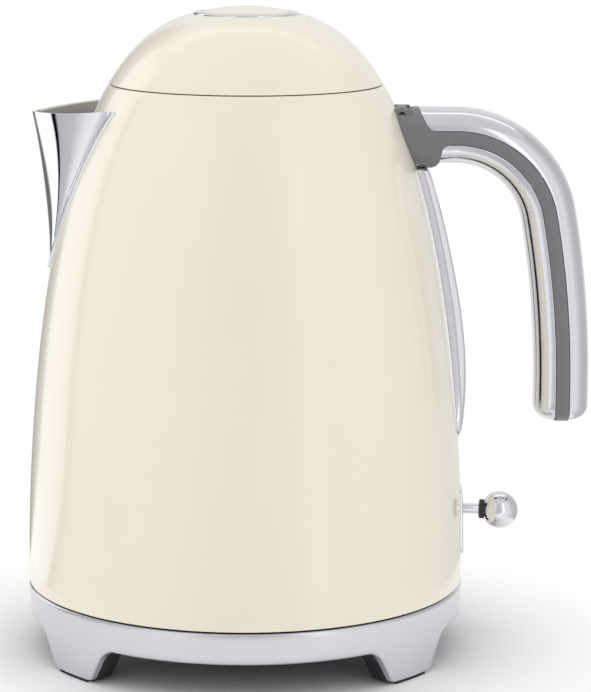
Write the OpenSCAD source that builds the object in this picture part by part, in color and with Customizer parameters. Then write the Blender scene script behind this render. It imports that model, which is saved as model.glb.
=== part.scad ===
// Cordless electric kettle: a domed steel jug with a chrome spout, a hooked handle and a hinged lid,
// which stands on a round power base. +Z is up, +X points to the handle and -X to the spout. The origin
// lies on the swivel axis, in the plane that the base stands on.

/* [Body shell] */
// Largest radius of the jug and of the base under it
body_max_r = 85.5; // [80:0.5:95]
// Height at which the wall starts to curve inwards
belly_z = 20; // [10:1:26]
// Height of the dome above that level
dome_rise = 230.5; // [215:0.5:260]
// How late the wall turns inwards on its way up
curve_a = 2.16; // [1.9:0.02:2.5]
// How full the shoulder of the dome is
curve_b = 2.91; // [2.5:0.01:3.4]
// Height of the jug's lower edge
shell_bottom_z = 27.3; // [27:0.1:28.5]
// Height of the seam between jug and lid
seam_z = 222; // [218:0.5:226]
// Open gap of that seam
seam_gap = 0.7; // [0.4:0.1:1.2]
// Thickness of the painted steel
shell_wall = 1.2; // [0.8:0.1:1.8]

/* [Power base] */
// Height of the base ring's top edge
base_top_z = 26.7; // [26:0.1:26.9]
// Height of the skirt's lower edge between the feet
skirt_z = 14.4; // [13:0.2:16]
// Wall of the base ring
base_wall = 2.6; // [2:0.1:3.5]
// How far the base wall draws in from its top to the table
base_draft = 1.4; // [0.5:0.1:2]
// Angle of each foot's middle from the handle side or the spout side
foot_angle = 39; // [34:1:45]
// Half the width of a foot at the table
foot_half_w = 12; // [10:0.5:13]
// Thickness of a foot, measured towards the middle
foot_depth = 9.5; // [7:0.5:14]
// Slope of a foot's flank that faces the handle or the spout, from upright
flank_side = 32; // [25:1:40]
// Slope of a foot's flank that faces the front or the back, from upright
flank_front = 30; // [25:1:40]
// Radius where a flank runs into the skirt
arch_fillet_r = 10; // [6:0.5:11]
// Radius of a foot's corners where they meet the sole
sole_round_r = 3.5; // [2:0.5:4]
// Thickness of the rubber pads under the feet
pad_h = 0.9; // [0.8:0.1:1.5]
// Height of the base's top deck
deck_top_z = 24.5; // [23:0.5:25]
// Thickness of the deck, the bottom cover and the drum's flange
plate_t = 2; // [1.5:0.1:2.2]
// Height of the bottom cover's lower face
cover_plate_z = 17.6; // [17.4:0.1:18]
// Radius of the drum that the cable is wound on
drum_r = 42; // [38:1:44]
// Radius of the drum's flange
drum_flange_r = 50; // [48:1:56]
// Height of the drum's flange above the table
drum_floor_z = 5.5; // [5:0.1:5.6]
// Bore of the cable gland, for a lead 7 mm thick
gland_bore_r = 3.6; // [3:0.1:3.8]
// Length of the cable gland
gland_len = 12; // [8:1:14]
// Wall of the cable gland
gland_wall = 1.2; // [1:0.1:1.2]
// Radius of the socket tower
socket_r = 20; // [18:0.5:22]
// Height of the socket tower's top
socket_top_z = 40; // [36:0.5:42]
// Middle radii of the socket's two ring slots
slot_radii = [7.5, 13.5]; // [6:0.5:16]
// Half the width of a ring slot
slot_half = 1.1; // [0.9:0.1:1.3]
// Radius of the socket's middle hole
socket_hole_r = 2.4; // [2.2:0.1:3]

/* [Swivel] */
// Inner and outer radius of the glide ring between base and jug
glide_radii = [60, 64]; // [56:0.5:68]
// Height of the glide ring
glide_h = 4.5; // [4:0.1:5]

/* [Vessel] */
// Height of the vessel's floor
floor_z = 70; // [66:0.5:76]
// Thickness of the vessel's floor
floor_t = 1; // [0.8:0.1:1.5]
// Radius of the heat spreader
spreader_r = 60; // [54:1:66]
// Thickness of the heat spreader
spreader_t = 3; // [2:0.5:4]
// Radius of the heating element's loop
element_r = 48; // [44:1:54]
// Radius of the heating element's tube
element_tube_r = 3.3; // [2.8:0.1:3.6]
// Radius of the control block
control_r = 27; // [24:0.5:29]
// Lower and upper face of the control block
control_z = [47, 60]; // [45:0.5:62]
// Radius of the jug's inner cup over the socket tower
cup_r = 22; // [21:0.5:25]
// Wall of that cup and of the jug's bottom cover
cover_wall = 2; // [1.5:0.1:2.2]
// Radius of the steam tube
steam_tube_r = 4; // [3:0.1:4.2]
// Place of the steam tube on the floor
steam_tube_xy = [48, 22]; // [15:1:52]
// Width of the seat that the collar gives the lid's seal
seat_w = 7; // [6:0.1:8]
// Height of the collar in the mouth
collar_h = 12; // [10:0.5:13]

/* [Spout] */
// Reach of the spout's lip from the axis
lip_x = 82.1; // [78:0.1:88]
// Reach of the spout's ridge at its foot
ridge_x = 76.4; // [75.9:0.1:77]
// Height of the lip
lip_z = 210.9; // [206:0.1:211.5]
// Height of the rim where it meets the jug
rim_z = 213.6; // [212:0.1:216]
// Height of the spout's lower point
spout_foot_z = 150; // [146:0.5:154]
// Half the width of the spout at the rim
spout_half_w = 29.5; // [26:0.5:32]
// How fast the spout widens upwards
spout_spread = 0.48; // [0.44:0.01:0.54]
// Thickness of the spout's wall
spout_wall = 1.3; // [1:0.1:1.6]
// Width of the flange beside the spout
flange_w = 1.8; // [1.2:0.1:2.6]
// How far the flange stands off the jug
flange_t = 1.1; // [0.8:0.1:1.6]

/* [Spout filter] */
// Gap between the filter's upper corners and the painted shell
filter_gap = 1.4; // [1:0.1:3]
// Width and height of the filter frame
filter_size = [46, 40]; // [30:1:50]
// Lower edge of the filter
filter_z = 160; // [156:1:162]
// Thickness of the filter frame
filter_t = 2.4; // [2:0.1:3]

/* [Handle] */
// Height of the middle of the handle's top run
grip_top_z = 202.6; // [200:0.1:203]
// Where the top run ends and the bend starts
bend_x = 81; // [78:0.5:86]
// Radius of the bend
bend_r = 36.9; // [32:0.1:40]
// Angle that the bend turns through
bend_turn = 79.5; // [76:0.5:84]
// Radius of the long lower run
lower_r = 368; // [300:1:450]
// Angle that the lower run turns through
lower_turn = 10.5; // [8:0.1:11]
// Length of the straight stretch below that run
tail_run = 9; // [4:0.5:14]
// Height of the handle's section, in its plane
grip_depth = 21.4; // [20:0.1:24]
// Width of the handle's section
grip_w = 27; // [24:0.5:30]
// How square the section is
grip_square = 2.5; // [2.2:0.1:3.2]
// Thickness of the grey strip between the chrome shells
strip_t = 5.2; // [4:0.1:6.5]
// Wall of the chrome shells
grip_wall = 2; // [1.5:0.1:2.5]
// Length of the rounded end
grip_end = 6; // [4:0.5:8]
// Where the outer and the inner chrome shell start on the top run
shell_start_x = [66.3, 75]; // [65:0.1:78]

/* [Water gauge] */
// Lower and upper end of the gauge frame
gauge_z = [83.6, 190.6]; // [80:0.1:195]
// Width of the gauge frame
gauge_w = 18; // [15:0.5:20]
// How far the frame stands off the jug at its middle
gauge_proud = 4.7; // [3.5:0.1:5.5]
// Width of the gauge window
window_w = 9; // [7:0.5:10]
// Margin of the window to the frame's ends
window_margin = 8; // [5:0.5:10]

/* [Lid] */
// Radius of the chrome ring round the lid button
ring_r = 20.2; // [19:0.1:22]
// Radius of the lid button
button_r = 16.6; // [15:0.1:17]
// How far the middle of the button stands above the ring
button_rise = 2.1; // [1.6:0.1:3]
// Travel of the button
button_travel = 4; // [2:0.5:4.5]
// Gap between the lid's plug and the mouth
plug_gap = 4; // [3.8:0.1:6]
// Height of the plug's lower face
plug_z = 212; // [210:0.5:213]
// Height of the hinge axis
hinge_z = 210.8; // [210.4:0.1:211]
// Distance of the hinge axis from the jug's wall, outwards
hinge_out = 1.3; // [1.1:0.1:1.6]
// Width of the lid's hinge arm
arm_w = 12.6; // [10:0.2:13]
// Radius of the hinge pin
pin_r = 1.5; // [1.2:0.1:1.8]
// Height of the latch bolt's middle
latch_z = 217; // [216:0.5:218]
// Width and height of the latch bolt
latch_size = [10, 3]; // [2:0.5:12]

/* [Switch lever] */
// Distance of the lever's pivot from the swivel axis
lever_pivot_x = 51; // [49:0.5:53]
// Height of the lever's pivot
lever_pivot_z = 55.9; // [54:0.1:56.5]
// Fall of the lever outwards at rest, in degrees
lever_fall = 2.4; // [1:0.1:4]
// Distance of the ball's middle from the pivot
ball_reach = 49.5; // [46:0.5:53]
// Radius of the ball
ball_r = 7.25; // [6:0.05:8]
// Radius of the lever's stem
stem_r = 2; // [1.6:0.1:2.3]
// Lower and upper end of the slot plate
slot_plate_z = [37.2, 63]; // [34:0.1:66]
// Width of the slot plate
slot_plate_w = 12; // [10:0.5:14]

/* [Hidden] */

$fn = 72;
// Gap between pieces that move past each other, between pieces of one body, and of a running fit
move_gap = 0.3;
fit_gap = 0.05;
run_gap = 0.05;
// Gap behind the painted shell, which takes up the flats of its facets
wall_gap = 0.1;
// A cut reaches this far past the face that it opens
cut = 1;
// Screws: radius of the shank and of the head, height of the head
screw_r = 1.4;
screw_head_r = 2.6;
screw_head_h = 1.8;
// Steps along the body's curve
curve_steps = 36;

cover_z = shell_bottom_z + 1.7;
seat_top_z = seam_z - 1;
collar_z = seat_top_z - collar_h;
cup_top_z = socket_top_z + 2.5;
spreader_z = floor_z - floor_t - fit_gap;
element_z = spreader_z - spreader_t - element_tube_r;
lid_bottom_z = seam_z + seam_gap;
flange_z = seam_z + 0.2;
flange_top_z = flange_z + 1.5;
arm_t = 2.6;
knuckle_r = pin_r + 1.3;
pocket_floor_z = hinge_z - knuckle_r - 1.8;
root_x = body_r(rim_z);
lining_in = shell_wall + wall_gap;
mouth_r = body_r(seat_top_z) - seat_w;
plug_r = mouth_r - plug_gap;
hinge_x = body_r(hinge_z) + hinge_out;
ring_top_z = height_at(ring_r) + 0.7;
button_top_z = ring_top_z + button_rise;
arm_top_z = lid_bottom_z + 5.3;
grip_half = grip_depth / 2;

// ---- The curve that jug and lid share ----

function body_r(z) =
    z <= belly_z ? body_max_r
    : body_max_r * pow(max(0, 1 - pow((z - belly_z) / dome_rise, curve_a)), 1 / curve_b);
function height_at(r) = belly_z + dome_rise * pow(1 - pow(r / body_max_r, curve_b), 1 / curve_a);
function body_slope(z) = (body_r(z + 0.05) - body_r(z - 0.05)) / 0.1;
// Point on the curve at height z, moved inwards along the normal by depth
function body_point(z, depth) =
    let (s = body_slope(z), n = sqrt(1 + s * s))
    [body_r(z) - depth / n, z + depth * s / n];
function steps(a, b, n) = [for (i = [0 : n]) a + (b - a) * i / n];
// Levels of a piece that follows the curve: they close up towards its top
function curve_levels(z_low, z_high) =
    [for (t = steps(0, 90, curve_steps)) z_low + (z_high - z_low) * sin(t)];
function reversed(list) = [for (i = [len(list) - 1 : -1 : 0]) list[i]];
function arc(cx, cy, r, a, b, n) = [for (t = steps(a, b, n)) [cx + r * cos(t), cy + r * sin(t)]];
function signed_pow(v, p) = sign(v) * pow(abs(v), p);

module revolve(points) { rotate_extrude($fn = 96) polygon(points); }

module tube(r_out, r_in, z_low, z_high) {
    translate([0, 0, z_low])
        difference() {
            cylinder(r = r_out, h = z_high - z_low);
            translate([0, 0, -cut]) cylinder(r = r_in, h = z_high - z_low + 2 * cut);
        }
}

module disc(r, z_low, z_high) { translate([0, 0, z_low]) cylinder(r = r, h = z_high - z_low); }

// Everything inside the body's curve drawn in by depth, between two heights
module body_core(depth, z_low, z_high) {
    revolve(concat(
        [[0, z_low]],
        [for (z = curve_levels(z_low, z_high)) [body_r(z) - depth, z]],
        [[0, z_high]]
    ));
}

// A layer that lies on the body's curve: from depth a inwards to depth b
module body_layer(a, b, z_low, z_high) {
    revolve(concat(
        [for (z = curve_levels(z_low, z_high)) [body_r(z) - a, z]],
        [for (z = reversed(curve_levels(z_low, z_high))) [body_r(z) - b, z]]
    ));
}

// A block along X, drawn from its outline in Y and Z
module along_x(x_low, x_high) {
    translate([x_low, 0, 0]) rotate([90, 0, 90]) linear_extrude(x_high - x_low) children();
}

// A block along Y, drawn from its outline in X and Z
module along_y(half) {
    translate([0, half, 0]) rotate([90, 0, 0]) linear_extrude(2 * half) children();
}

module rod_x(r, x_low, x_high, y, z) {
    translate([x_low, y, z]) rotate([0, 90, 0]) cylinder(r = r, h = x_high - x_low, $fn = 36);
}

module rod_y(r, x, z, half) {
    translate([x, half, z]) rotate([90, 0, 0]) cylinder(r = r, h = 2 * half, $fn = 48);
}

module stadium(w, z_low, z_high) {
    for (z = [z_low + w / 2, z_high - w / 2]) translate([0, z]) circle(d = w);
    translate([-w / 2, z_low + w / 2]) square([w, z_high - z_low - w]);
}

// Screw along Z with its head below, whose shank ends at z_tip
module screw_up(x, y, z_head, z_tip) {
    translate([x, y, z_head]) cylinder(r = screw_head_r, h = screw_head_h, $fn = 32);
    translate([x, y, z_head]) cylinder(r = screw_r, h = z_tip - z_head, $fn = 32);
}

// ---- A closed solid from rows of points: each row is a loop of equal length ----
// The loop's first half is the outside and its second half comes back along the inside, so the two
// ends are closed by a strip of faces between them.

function row_faces(rows, n) = [
    for (r = [0 : rows - 2], c = [0 : n - 1])
        for (f = [
            [r * n + c, r * n + (c + 1) % n, (r + 1) * n + (c + 1) % n],
            [r * n + c, (r + 1) * n + (c + 1) % n, (r + 1) * n + c]
        ]) f
];
function strip_faces(first, n, flip) = [
    for (c = [0 : n / 2 - 2])
        for (f = [
            [first + c, first + n - 1 - c, first + c + 1],
            [first + c + 1, first + n - 1 - c, first + n - 2 - c]
        ]) flip ? [f[0], f[2], f[1]] : f
];

module loft(rows) {
    n = len(rows[0]);
    polyhedron(
        points = [for (row = rows, p = row) p],
        faces = concat(
            row_faces(len(rows), n),
            strip_faces(0, n, false),
            strip_faces((len(rows) - 1) * n, n, true)
        ),
        convexity = 8
    );
}

// ---- Power base ----

foot_places = [foot_angle, 180 - foot_angle, 180 + foot_angle, 360 - foot_angle];
function base_r(z) = body_max_r - base_draft * max(0, base_top_z - 2 - z) / base_top_z;

// Half of a foot's outline: round its corner, up one flank and round the fillet into the skirt's wall
function foot_flank(slope) =
    let (
        top_z = skirt_z + 0.3,
        corner = foot_half_w + (top_z - pad_h) * tan(slope),
        run = arch_fillet_r * tan((90 - slope) / 2),
        sole_run = sole_round_r * tan((90 - slope) / 2)
    )
    concat(
        arc(foot_half_w - sole_run, pad_h + sole_round_r, sole_round_r, -90, -slope, 4),
        reversed(arc(corner + run, top_z - arch_fillet_r, arch_fillet_r, 90, 180 - slope, 6))
    );
function mirrored(list) = [for (p = list) [-p[0], p[1]]];

module foot(place) {
    // The flank that faces the handle or the spout comes first on every other foot
    side_first = (place < 90 || (place > 180 && place < 270));
    low = foot_flank(side_first ? flank_side : flank_front);
    high = foot_flank(side_first ? flank_front : flank_side);
    low_end = low[len(low) - 1][0];
    high_end = high[len(high) - 1][0];
    inner_r = base_r(0) - foot_depth;
    foot_edge = 0.6;
    // The foot's tongue reaches up into the middle of the ring's wall
    tongue_in = base_wall / 4;
    intersection() {
        revolve([
            [inner_r, pad_h],
            [base_r(pad_h) - foot_edge, pad_h],
            [base_r(pad_h + foot_edge), pad_h + foot_edge],
            [base_r(skirt_z), skirt_z],
            [base_r(skirt_z) - tongue_in, skirt_z],
            [base_r(skirt_z) - tongue_in, skirt_z + cut],
            [ring_inner_r + tongue_in, skirt_z + cut],
            [ring_inner_r + tongue_in, skirt_z],
            [inner_r, skirt_z]
        ]);
        rotate([0, 0, place])
            along_x(inner_r / 2, body_max_r + cut)
                polygon(concat(
                    mirrored(reversed(low)),
                    high,
                    [[high_end, skirt_z + 2 * cut], [-low_end, skirt_z + 2 * cut]]
                ));
    }
}

ring_inner_r = base_r(skirt_z) - base_wall;

// The lead leaves through a notch at the back, in line with the gland
notch_r = gland_bore_r + 0.9;
notch_z = drum_floor_z + plate_t + gland_bore_r + gland_wall + fit_gap;

module base_ring() {
    lip = 1.1;
    color("silver") {
        difference() {
            revolve(concat(
                [[ring_inner_r, skirt_z], [base_r(skirt_z), skirt_z]],
                arc(body_max_r - lip, base_top_z - lip, lip, 0, 90, 5),
                [[ring_inner_r, base_top_z]]
            ));
            translate([0, ring_inner_r - 1, notch_z])
                rotate([-90, 0, 0])
                    cylinder(r = notch_r, h = base_wall + 5, $fn = 48);
        }
        for (place = foot_places) foot(place);
    }
}

module foot_pads() {
    inset = 0.9;
    pad_half = foot_half_w - sole_round_r * 0.6 - inset;
    color("dimgray")
        for (place = foot_places)
            intersection() {
                tube(base_r(0) - inset, base_r(0) - foot_depth + inset, 0, pad_h);
                rotate([0, 0, place])
                    along_x(body_max_r / 2, body_max_r)
                        translate([-pad_half, 0])
                            square([2 * pad_half, pad_h]);
            }
}

boss_r = 4;
boss_place_r = 66;
boss_places = [0, 90, 180, 270];
inner_wall_r = ring_inner_r - 0.1;
cover_top_z = cover_plate_z + plate_t;

module base_deck() {
    color("gainsboro") {
        difference() {
            disc(inner_wall_r, deck_top_z - plate_t, deck_top_z);
            translate([0, 0, deck_top_z - plate_t - cut])
                cylinder(r = socket_r + fit_gap, h = plate_t + 2 * cut);
        }
        for (a = boss_places)
            rotate([0, 0, a])
                translate([boss_place_r, 0, 0])
                    tube(boss_r, screw_r + fit_gap, cover_top_z, deck_top_z - plate_t);
    }
}

module base_cover() {
    color("dimgray")
        difference() {
            union() {
                tube(inner_wall_r, drum_r - plate_t / 2, cover_plate_z, cover_top_z);
                tube(drum_r, drum_r - plate_t, drum_floor_z, cover_top_z);
                disc(drum_flange_r, drum_floor_z, drum_floor_z + plate_t);
                for (x = [-clamp_x, clamp_x])
                    translate([x, clamp_y, drum_floor_z + cut])
                        cylinder(r = clamp_post_r, h = clamp_z - drum_floor_z - cut);
            }
            for (a = boss_places)
                rotate([0, 0, a])
                    translate([boss_place_r, 0, cover_plate_z - cut])
                        cylinder(r = screw_r + fit_gap, h = plate_t + 2 * cut, $fn = 32);
            translate([0, drum_r + 4, gland_axis_z])
                rotate([90, 0, 0])
                    cylinder(r = gland_bore_r + gland_wall + fit_gap, h = 10, $fn = 48);
            for (x = [-clamp_x, clamp_x])
                translate([x, clamp_y, drum_floor_z + plate_t])
                    cylinder(r = screw_r + fit_gap, h = clamp_z, $fn = 32);
        }
}

module base_screws() {
    color("slategray")
        for (a = boss_places)
            rotate([0, 0, a])
                screw_up(boss_place_r, 0, cover_plate_z - screw_head_h, deck_top_z - plate_t - 1);
}

gland_axis_z = notch_z;
clamp_x = 9;
clamp_y = 30;
clamp_post_r = 3;
clamp_z = gland_axis_z + gland_bore_r - 0.2;
clamp_bar_t = 2.5;

module cable_gland() {
    color("black")
        translate([0, drum_r - plate_t - 1, gland_axis_z])
            rotate([-90, 0, 0])
                tube(gland_bore_r + gland_wall, gland_bore_r, 0, gland_len);
}

module cord_clamp() {
    bar_w = 6;
    color("gainsboro")
        difference() {
            translate([-clamp_x - clamp_post_r, clamp_y - bar_w / 2, clamp_z])
                cube([2 * (clamp_x + clamp_post_r), bar_w, clamp_bar_t]);
            for (x = [-clamp_x, clamp_x])
                translate([x, clamp_y, clamp_z - cut])
                    cylinder(r = screw_r + fit_gap, h = clamp_bar_t + 2 * cut, $fn = 32);
        }
}

module clamp_screws() {
    bar_top_z = clamp_z + clamp_bar_t;
    color("slategray")
        for (x = [-clamp_x, clamp_x])
            translate([x, clamp_y, 0]) {
                disc(screw_head_r, bar_top_z, bar_top_z + screw_head_h);
                disc(screw_r, drum_floor_z + plate_t + 1, bar_top_z);
            }
}

module base_socket() {
    foot_r = socket_r + 3;
    foot_z = cover_top_z + 1;
    slot_depth = 8;
    hole_depth = 10;
    color("dimgray")
        difference() {
            union() {
                disc(socket_r, foot_z, socket_top_z);
                disc(foot_r, foot_z, deck_top_z - plate_t);
            }
            for (r = slot_radii)
                tube(r + slot_half, r - slot_half, socket_top_z - slot_depth, socket_top_z + cut);
            disc(socket_hole_r, socket_top_z - hole_depth, socket_top_z + cut);
            for (x = contact_places)
                translate([x, 0, 0]) disc(contact_pin_r + fit_gap, 0, socket_top_z - slot_depth + fit_gap);
        }
}

contact_pin_r = 0.9;
contact_places = [0, slot_radii[0], -slot_radii[1]];

// Contact pins that stand in the foot of each slot and reach down to the wiring
module socket_contacts() {
    color("goldenrod")
        for (x = contact_places) translate([x, 0, 0]) disc(contact_pin_r, cover_top_z, socket_top_z - 9);
}

// ---- Glide ring ----

module glide_ring() {
    color("whitesmoke") tube(glide_radii[1], glide_radii[0], deck_top_z, deck_top_z + glide_h);
}

// ---- Jug: shell and vessel ----

arm_slot_half = arm_w / 2 + 0.6;
lever_slot_half = stem_r + 0.7;
lever_slot_z = [slot_plate_z[0] + 1.6, slot_plate_z[1] - 1.6];
bracket_screw_y = 8.5;
bracket_screw_z = 198;
handle_screw_r = 2;
handle_head_r = 3.4;
handle_screw_reach = 12;
bracket_t = 2.2;

module arm_notch(x_low) {
    translate([x_low, -arm_slot_half, pocket_floor_z])
        cube([body_max_r - x_low, 2 * arm_slot_half, seam_z - pocket_floor_z + cut]);
}

module body_shell() {
    hem = 2.4;
    color("cornsilk")
        difference() {
            union() {
                body_layer(0, shell_wall, shell_bottom_z, seam_z);
                body_layer(0, hem, shell_bottom_z, shell_bottom_z + 1);
            }
            along_x(-body_max_r, -body_max_r / 2) spout_hole();
            along_x(body_max_r / 2, body_max_r + cut)
                stadium(window_w + 1, window_z[0] - 0.5, window_z[1] + 0.5);
            along_x(body_max_r / 2, body_max_r + cut) lever_slot(0);
            arm_notch(body_r(seam_z) / 2);
            for (y = [-bracket_screw_y, bracket_screw_y])
                rod_x(handle_screw_r + fit_gap, body_max_r / 2, body_max_r, y, bracket_screw_z);
        }
}

module lever_slot(grow) {
    translate([-lever_slot_half - grow, lever_slot_z[0] - grow])
        square([2 * (lever_slot_half + grow), lever_slot_z[1] - lever_slot_z[0] + 2 * grow]);
}

module mouth_collar() {
    collar_bevel = 5;
    color("dimgray")
        difference() {
            revolve(concat(
                [for (z = steps(collar_z, seat_top_z, 6)) [body_r(z) - lining_in, z]],
                [[mouth_r, seat_top_z], [mouth_r, collar_z + collar_bevel]]
            ));
            arm_notch(mouth_r + 4);
        }
}

floor_rim_t = 1;
floor_rim_h = 6;

module vessel_floor() {
    color("silver")
        difference() {
            union() {
                disc(body_r(floor_z) - lining_in - floor_rim_t, floor_z - floor_t, floor_z);
                body_layer(lining_in, lining_in + floor_rim_t, floor_z - floor_rim_h, floor_z);
            }
            translate([steam_tube_xy[0], steam_tube_xy[1], 0])
                disc(steam_tube_r + fit_gap, floor_z - floor_t - cut, floor_z + cut);
        }
}

module floor_seal() {
    gap = lining_in + floor_rim_t + fit_gap;
    seal_t = 2.5;
    color("dimgray") body_layer(gap, gap + seal_t, floor_z - floor_rim_h, floor_z - floor_t - fit_gap);
}

module heat_spreader() {
    color("lightgray")
        difference() {
            disc(spreader_r, spreader_z - spreader_t, spreader_z);
            translate([steam_tube_xy[0], steam_tube_xy[1], 0])
                disc(steam_tube_r + 0.5, spreader_z - spreader_t - cut, spreader_z + cut);
        }
}

element_gap = 70;
tail_len = 10;

module heating_element() {
    color("gray") {
        rotate([0, 0, element_gap / 2])
            translate([0, 0, element_z])
                rotate_extrude(angle = 360 - element_gap)
                    translate([element_r, 0]) circle(r = element_tube_r, $fn = 32);
        for (a = [-element_gap / 2, element_gap / 2])
            rotate([0, 0, a])
                translate([element_r, 0, 0]) disc(element_tube_r - 1, element_z - tail_len, element_z);
    }
}

module control_block() {
    color("whitesmoke")
        difference() {
            disc(control_r, control_z[0], control_z[1]);
            disc(bimetal_r + 0.5, control_z[1] - 1.5, control_z[1] + cut);
        }
}

bimetal_r = 9.5;

module bimetal_disc() {
    color("darkgoldenrod") disc(bimetal_r, control_z[1] - 1.5, control_z[1] - 0.9);
}

module jug_connector() {
    color("dimgray")
        difference() {
            disc(cup_r, cup_top_z, control_z[0]);
            for (r = slot_radii)
                tube(r + ring_half + fit_gap, r - ring_half - fit_gap, cup_top_z - cut, cup_top_z + 3);
            disc(contact_rod_r + fit_gap, cup_top_z - cut, cup_top_z + 3);
        }
}

ring_half = 0.5;
contact_rod_r = 1.7;

module jug_contacts() {
    reach_z = socket_top_z - 6;
    color("goldenrod") {
        disc(contact_rod_r, reach_z, cup_top_z + 3);
        for (r = slot_radii) tube(r + ring_half, r - ring_half, reach_z, cup_top_z + 3);
    }
}

cover_screw_x = 72;
cover_screw_places = [60, 180, 300];
post_top_z = 44;

module bottom_cover() {
    color("dimgray") {
        difference() {
            union() {
                disc(body_r(cover_z) - lining_in, cover_z, cover_z + cover_wall);
                disc(cup_r + cover_wall, cover_z, control_z[0] - 1);
                for (a = cover_screw_places)
                    rotate([0, 0, a])
                        translate([cover_screw_x, 0, 0]) disc(boss_r, cover_z, post_top_z);
            }
            disc(cup_r + fit_gap, cover_z - cut, control_z[0] + cut);
            for (a = cover_screw_places)
                rotate([0, 0, a])
                    translate([cover_screw_x, 0, 0])
                        disc(screw_r + fit_gap, cover_z - cut, post_top_z + cut);
        }
    }
}

module cover_screws() {
    color("slategray")
        for (a = cover_screw_places)
            rotate([0, 0, a])
                screw_up(cover_screw_x, 0, cover_z - screw_head_h, post_top_z - 2);
}

module steam_tube() {
    tube_wall = 1;
    tube_short = 5;
    color("whitesmoke")
        translate([steam_tube_xy[0], steam_tube_xy[1], 0])
            tube(steam_tube_r, steam_tube_r - tube_wall, control_z[1] + 2, collar_z - tube_short);
}

// ---- Spout ----

spout_rows = 22;
spout_steps = 12;

function spout_share(z) = max(0, (z - spout_foot_z) / (rim_z - spout_foot_z));
function spout_half(z) = spout_half_w * pow(spout_share(z), spout_spread);
function ridge_at(z) =
    let (low = spout_foot_z + 8)
    ridge_x + (lip_x - ridge_x) * pow(max(0, (z - low) / (lip_z - low)), 1.6);
function on_body(y, z, off) = -sqrt(max(0, pow(body_r(z) + off, 2) - y * y));
// Point of the spout's skin: s runs from the ridge, 0, to the jug, 1, and wall is the depth inside
function skin(z, s, side, wall) =
    let (
        half = max(0.5, spout_half(z) - wall),
        front = -(ridge_at(z) - wall * 1.2),
        back = on_body(half, z, flange_t / 2),
        y = half * sin(90 * pow(s, 0.88)),
        x = front + (back - front) * s
    )
    [
        min(x, on_body(y, z, wall > 0 ? fit_gap : flange_t)),
        side * y,
        z - (rim_z - lip_z) * (1 - s) * rim_share(z)
    ];
// The rim falls towards the lip, and levels lower down follow it less and less
function rim_share(z) = pow(spout_share(z), 3);
function flange_point(z, y, off, side) = [on_body(y, z, off), side * y, z];

function spout_row(z) =
    let (
        half = spout_half(z),
        ss = steps(0, 1, spout_steps),
        outer = [
            for (side = [-1, 1])
                let (order = side < 0 ? reversed(ss) : ss)
                for (s = order) if (side < 0 || s > 0) skin(z, s, side, 0)
        ],
        inner = [
            for (side = [1, -1])
                let (order = side > 0 ? reversed(ss) : ss)
                for (s = order) if (side > 0 || s > 0) skin(z, s, side, spout_wall)
        ]
    )
    concat(
        [
            flange_point(z, half + flange_w, fit_gap, -1),
            flange_point(z, half + flange_w, flange_t * 0.7, -1),
            flange_point(z, half + flange_w * 0.7, flange_t, -1)
        ],
        outer,
        [
            flange_point(z, half + flange_w * 0.7, flange_t, 1),
            flange_point(z, half + flange_w, flange_t * 0.7, 1),
            flange_point(z, half + flange_w, fit_gap, 1)
        ],
        [for (y = [half + flange_w * 0.6, half, half - spout_wall * 0.5]) flange_point(z, y, fit_gap, 1)],
        inner,
        [for (y = [half - spout_wall * 0.5, half, half + flange_w * 0.6]) flange_point(z, y, fit_gap, -1)]
    );

module spout() {
    start_z = spout_foot_z + 0.6;
    levels = [for (u = steps(0, 1, spout_rows)) start_z + (rim_z - start_z) * pow(u, 1.3)];
    color("silver") loft([for (z = levels) spout_row(z)]);
}

hole_rim = 2;
spout_hole_z = [spout_foot_z + 12, collar_z - 2 * hole_rim];

module spout_hole() {
    zs = steps(spout_hole_z[0], spout_hole_z[1], 8);
    edge = [for (z = zs) [spout_half(z) - spout_wall - hole_rim, z]];
    polygon(concat(edge, reversed(mirrored(edge))));
}

// ---- Spout filter and what holds it ----

filter_corner = 5;
mesh_t = 0.35;
mesh_inset = 1.5;
filter_top_z = filter_z + filter_size[1];
filter_x = sqrt(
    pow(body_r(filter_top_z - filter_corner) - shell_wall, 2) - pow(filter_size[0] / 2, 2)
) - filter_gap;

module filter_guides() {
    rail = 2;
    lap = 3;
    deep = 14;
    rail_h = filter_size[1] - 4;
    outer_x = filter_x + mesh_t + move_gap;
    y_in = filter_size[0] / 2 + move_gap;
    color("silver")
        intersection() {
            difference() {
                body_core(lining_in, filter_z - 2, collar_z - 4);
                body_core(shell_wall + deep, filter_z - 2 - cut, collar_z - 4 + cut);
            }
            for (side = [0, 1])
                mirror([0, side, 0]) {
                    translate([-outer_x - body_max_r / 2, y_in - lap, filter_z])
                        cube([body_max_r / 2, lap + rail, rail_h]);
                    translate([-outer_x - rail, y_in, filter_z])
                        cube([outer_x + rail - filter_x + filter_t, rail, rail_h]);
                }
        }
}

module filter_outline(inset) {
    low = filter_z + filter_corner;
    high = filter_top_z - filter_corner;
    half = filter_size[0] / 2 - inset;
    side = half - filter_corner;
    for (y = [-side, side], z = [low + inset, high - inset])
        translate([y, z]) circle(r = filter_corner, $fn = 32);
    translate([-half, low + inset]) square([2 * half, high - low - 2 * inset]);
    translate([-side, filter_z + inset]) square([2 * side, filter_size[1] - 2 * inset]);
}

module filter_frame() {
    border = 3;
    bar = 2;
    lap = 0.1;
    color("dimgray")
        along_x(-filter_x, -filter_x + filter_t) {
            difference() {
                filter_outline(0);
                filter_outline(border);
            }
            translate([-bar / 2, filter_z + border - lap])
                square([bar, filter_size[1] - 2 * (border - lap)]);
        }
}

module filter_mesh() {
    color("lightgray") along_x(-filter_x - mesh_t, -filter_x) filter_outline(mesh_inset);
}

// ---- Water gauge ----

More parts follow.
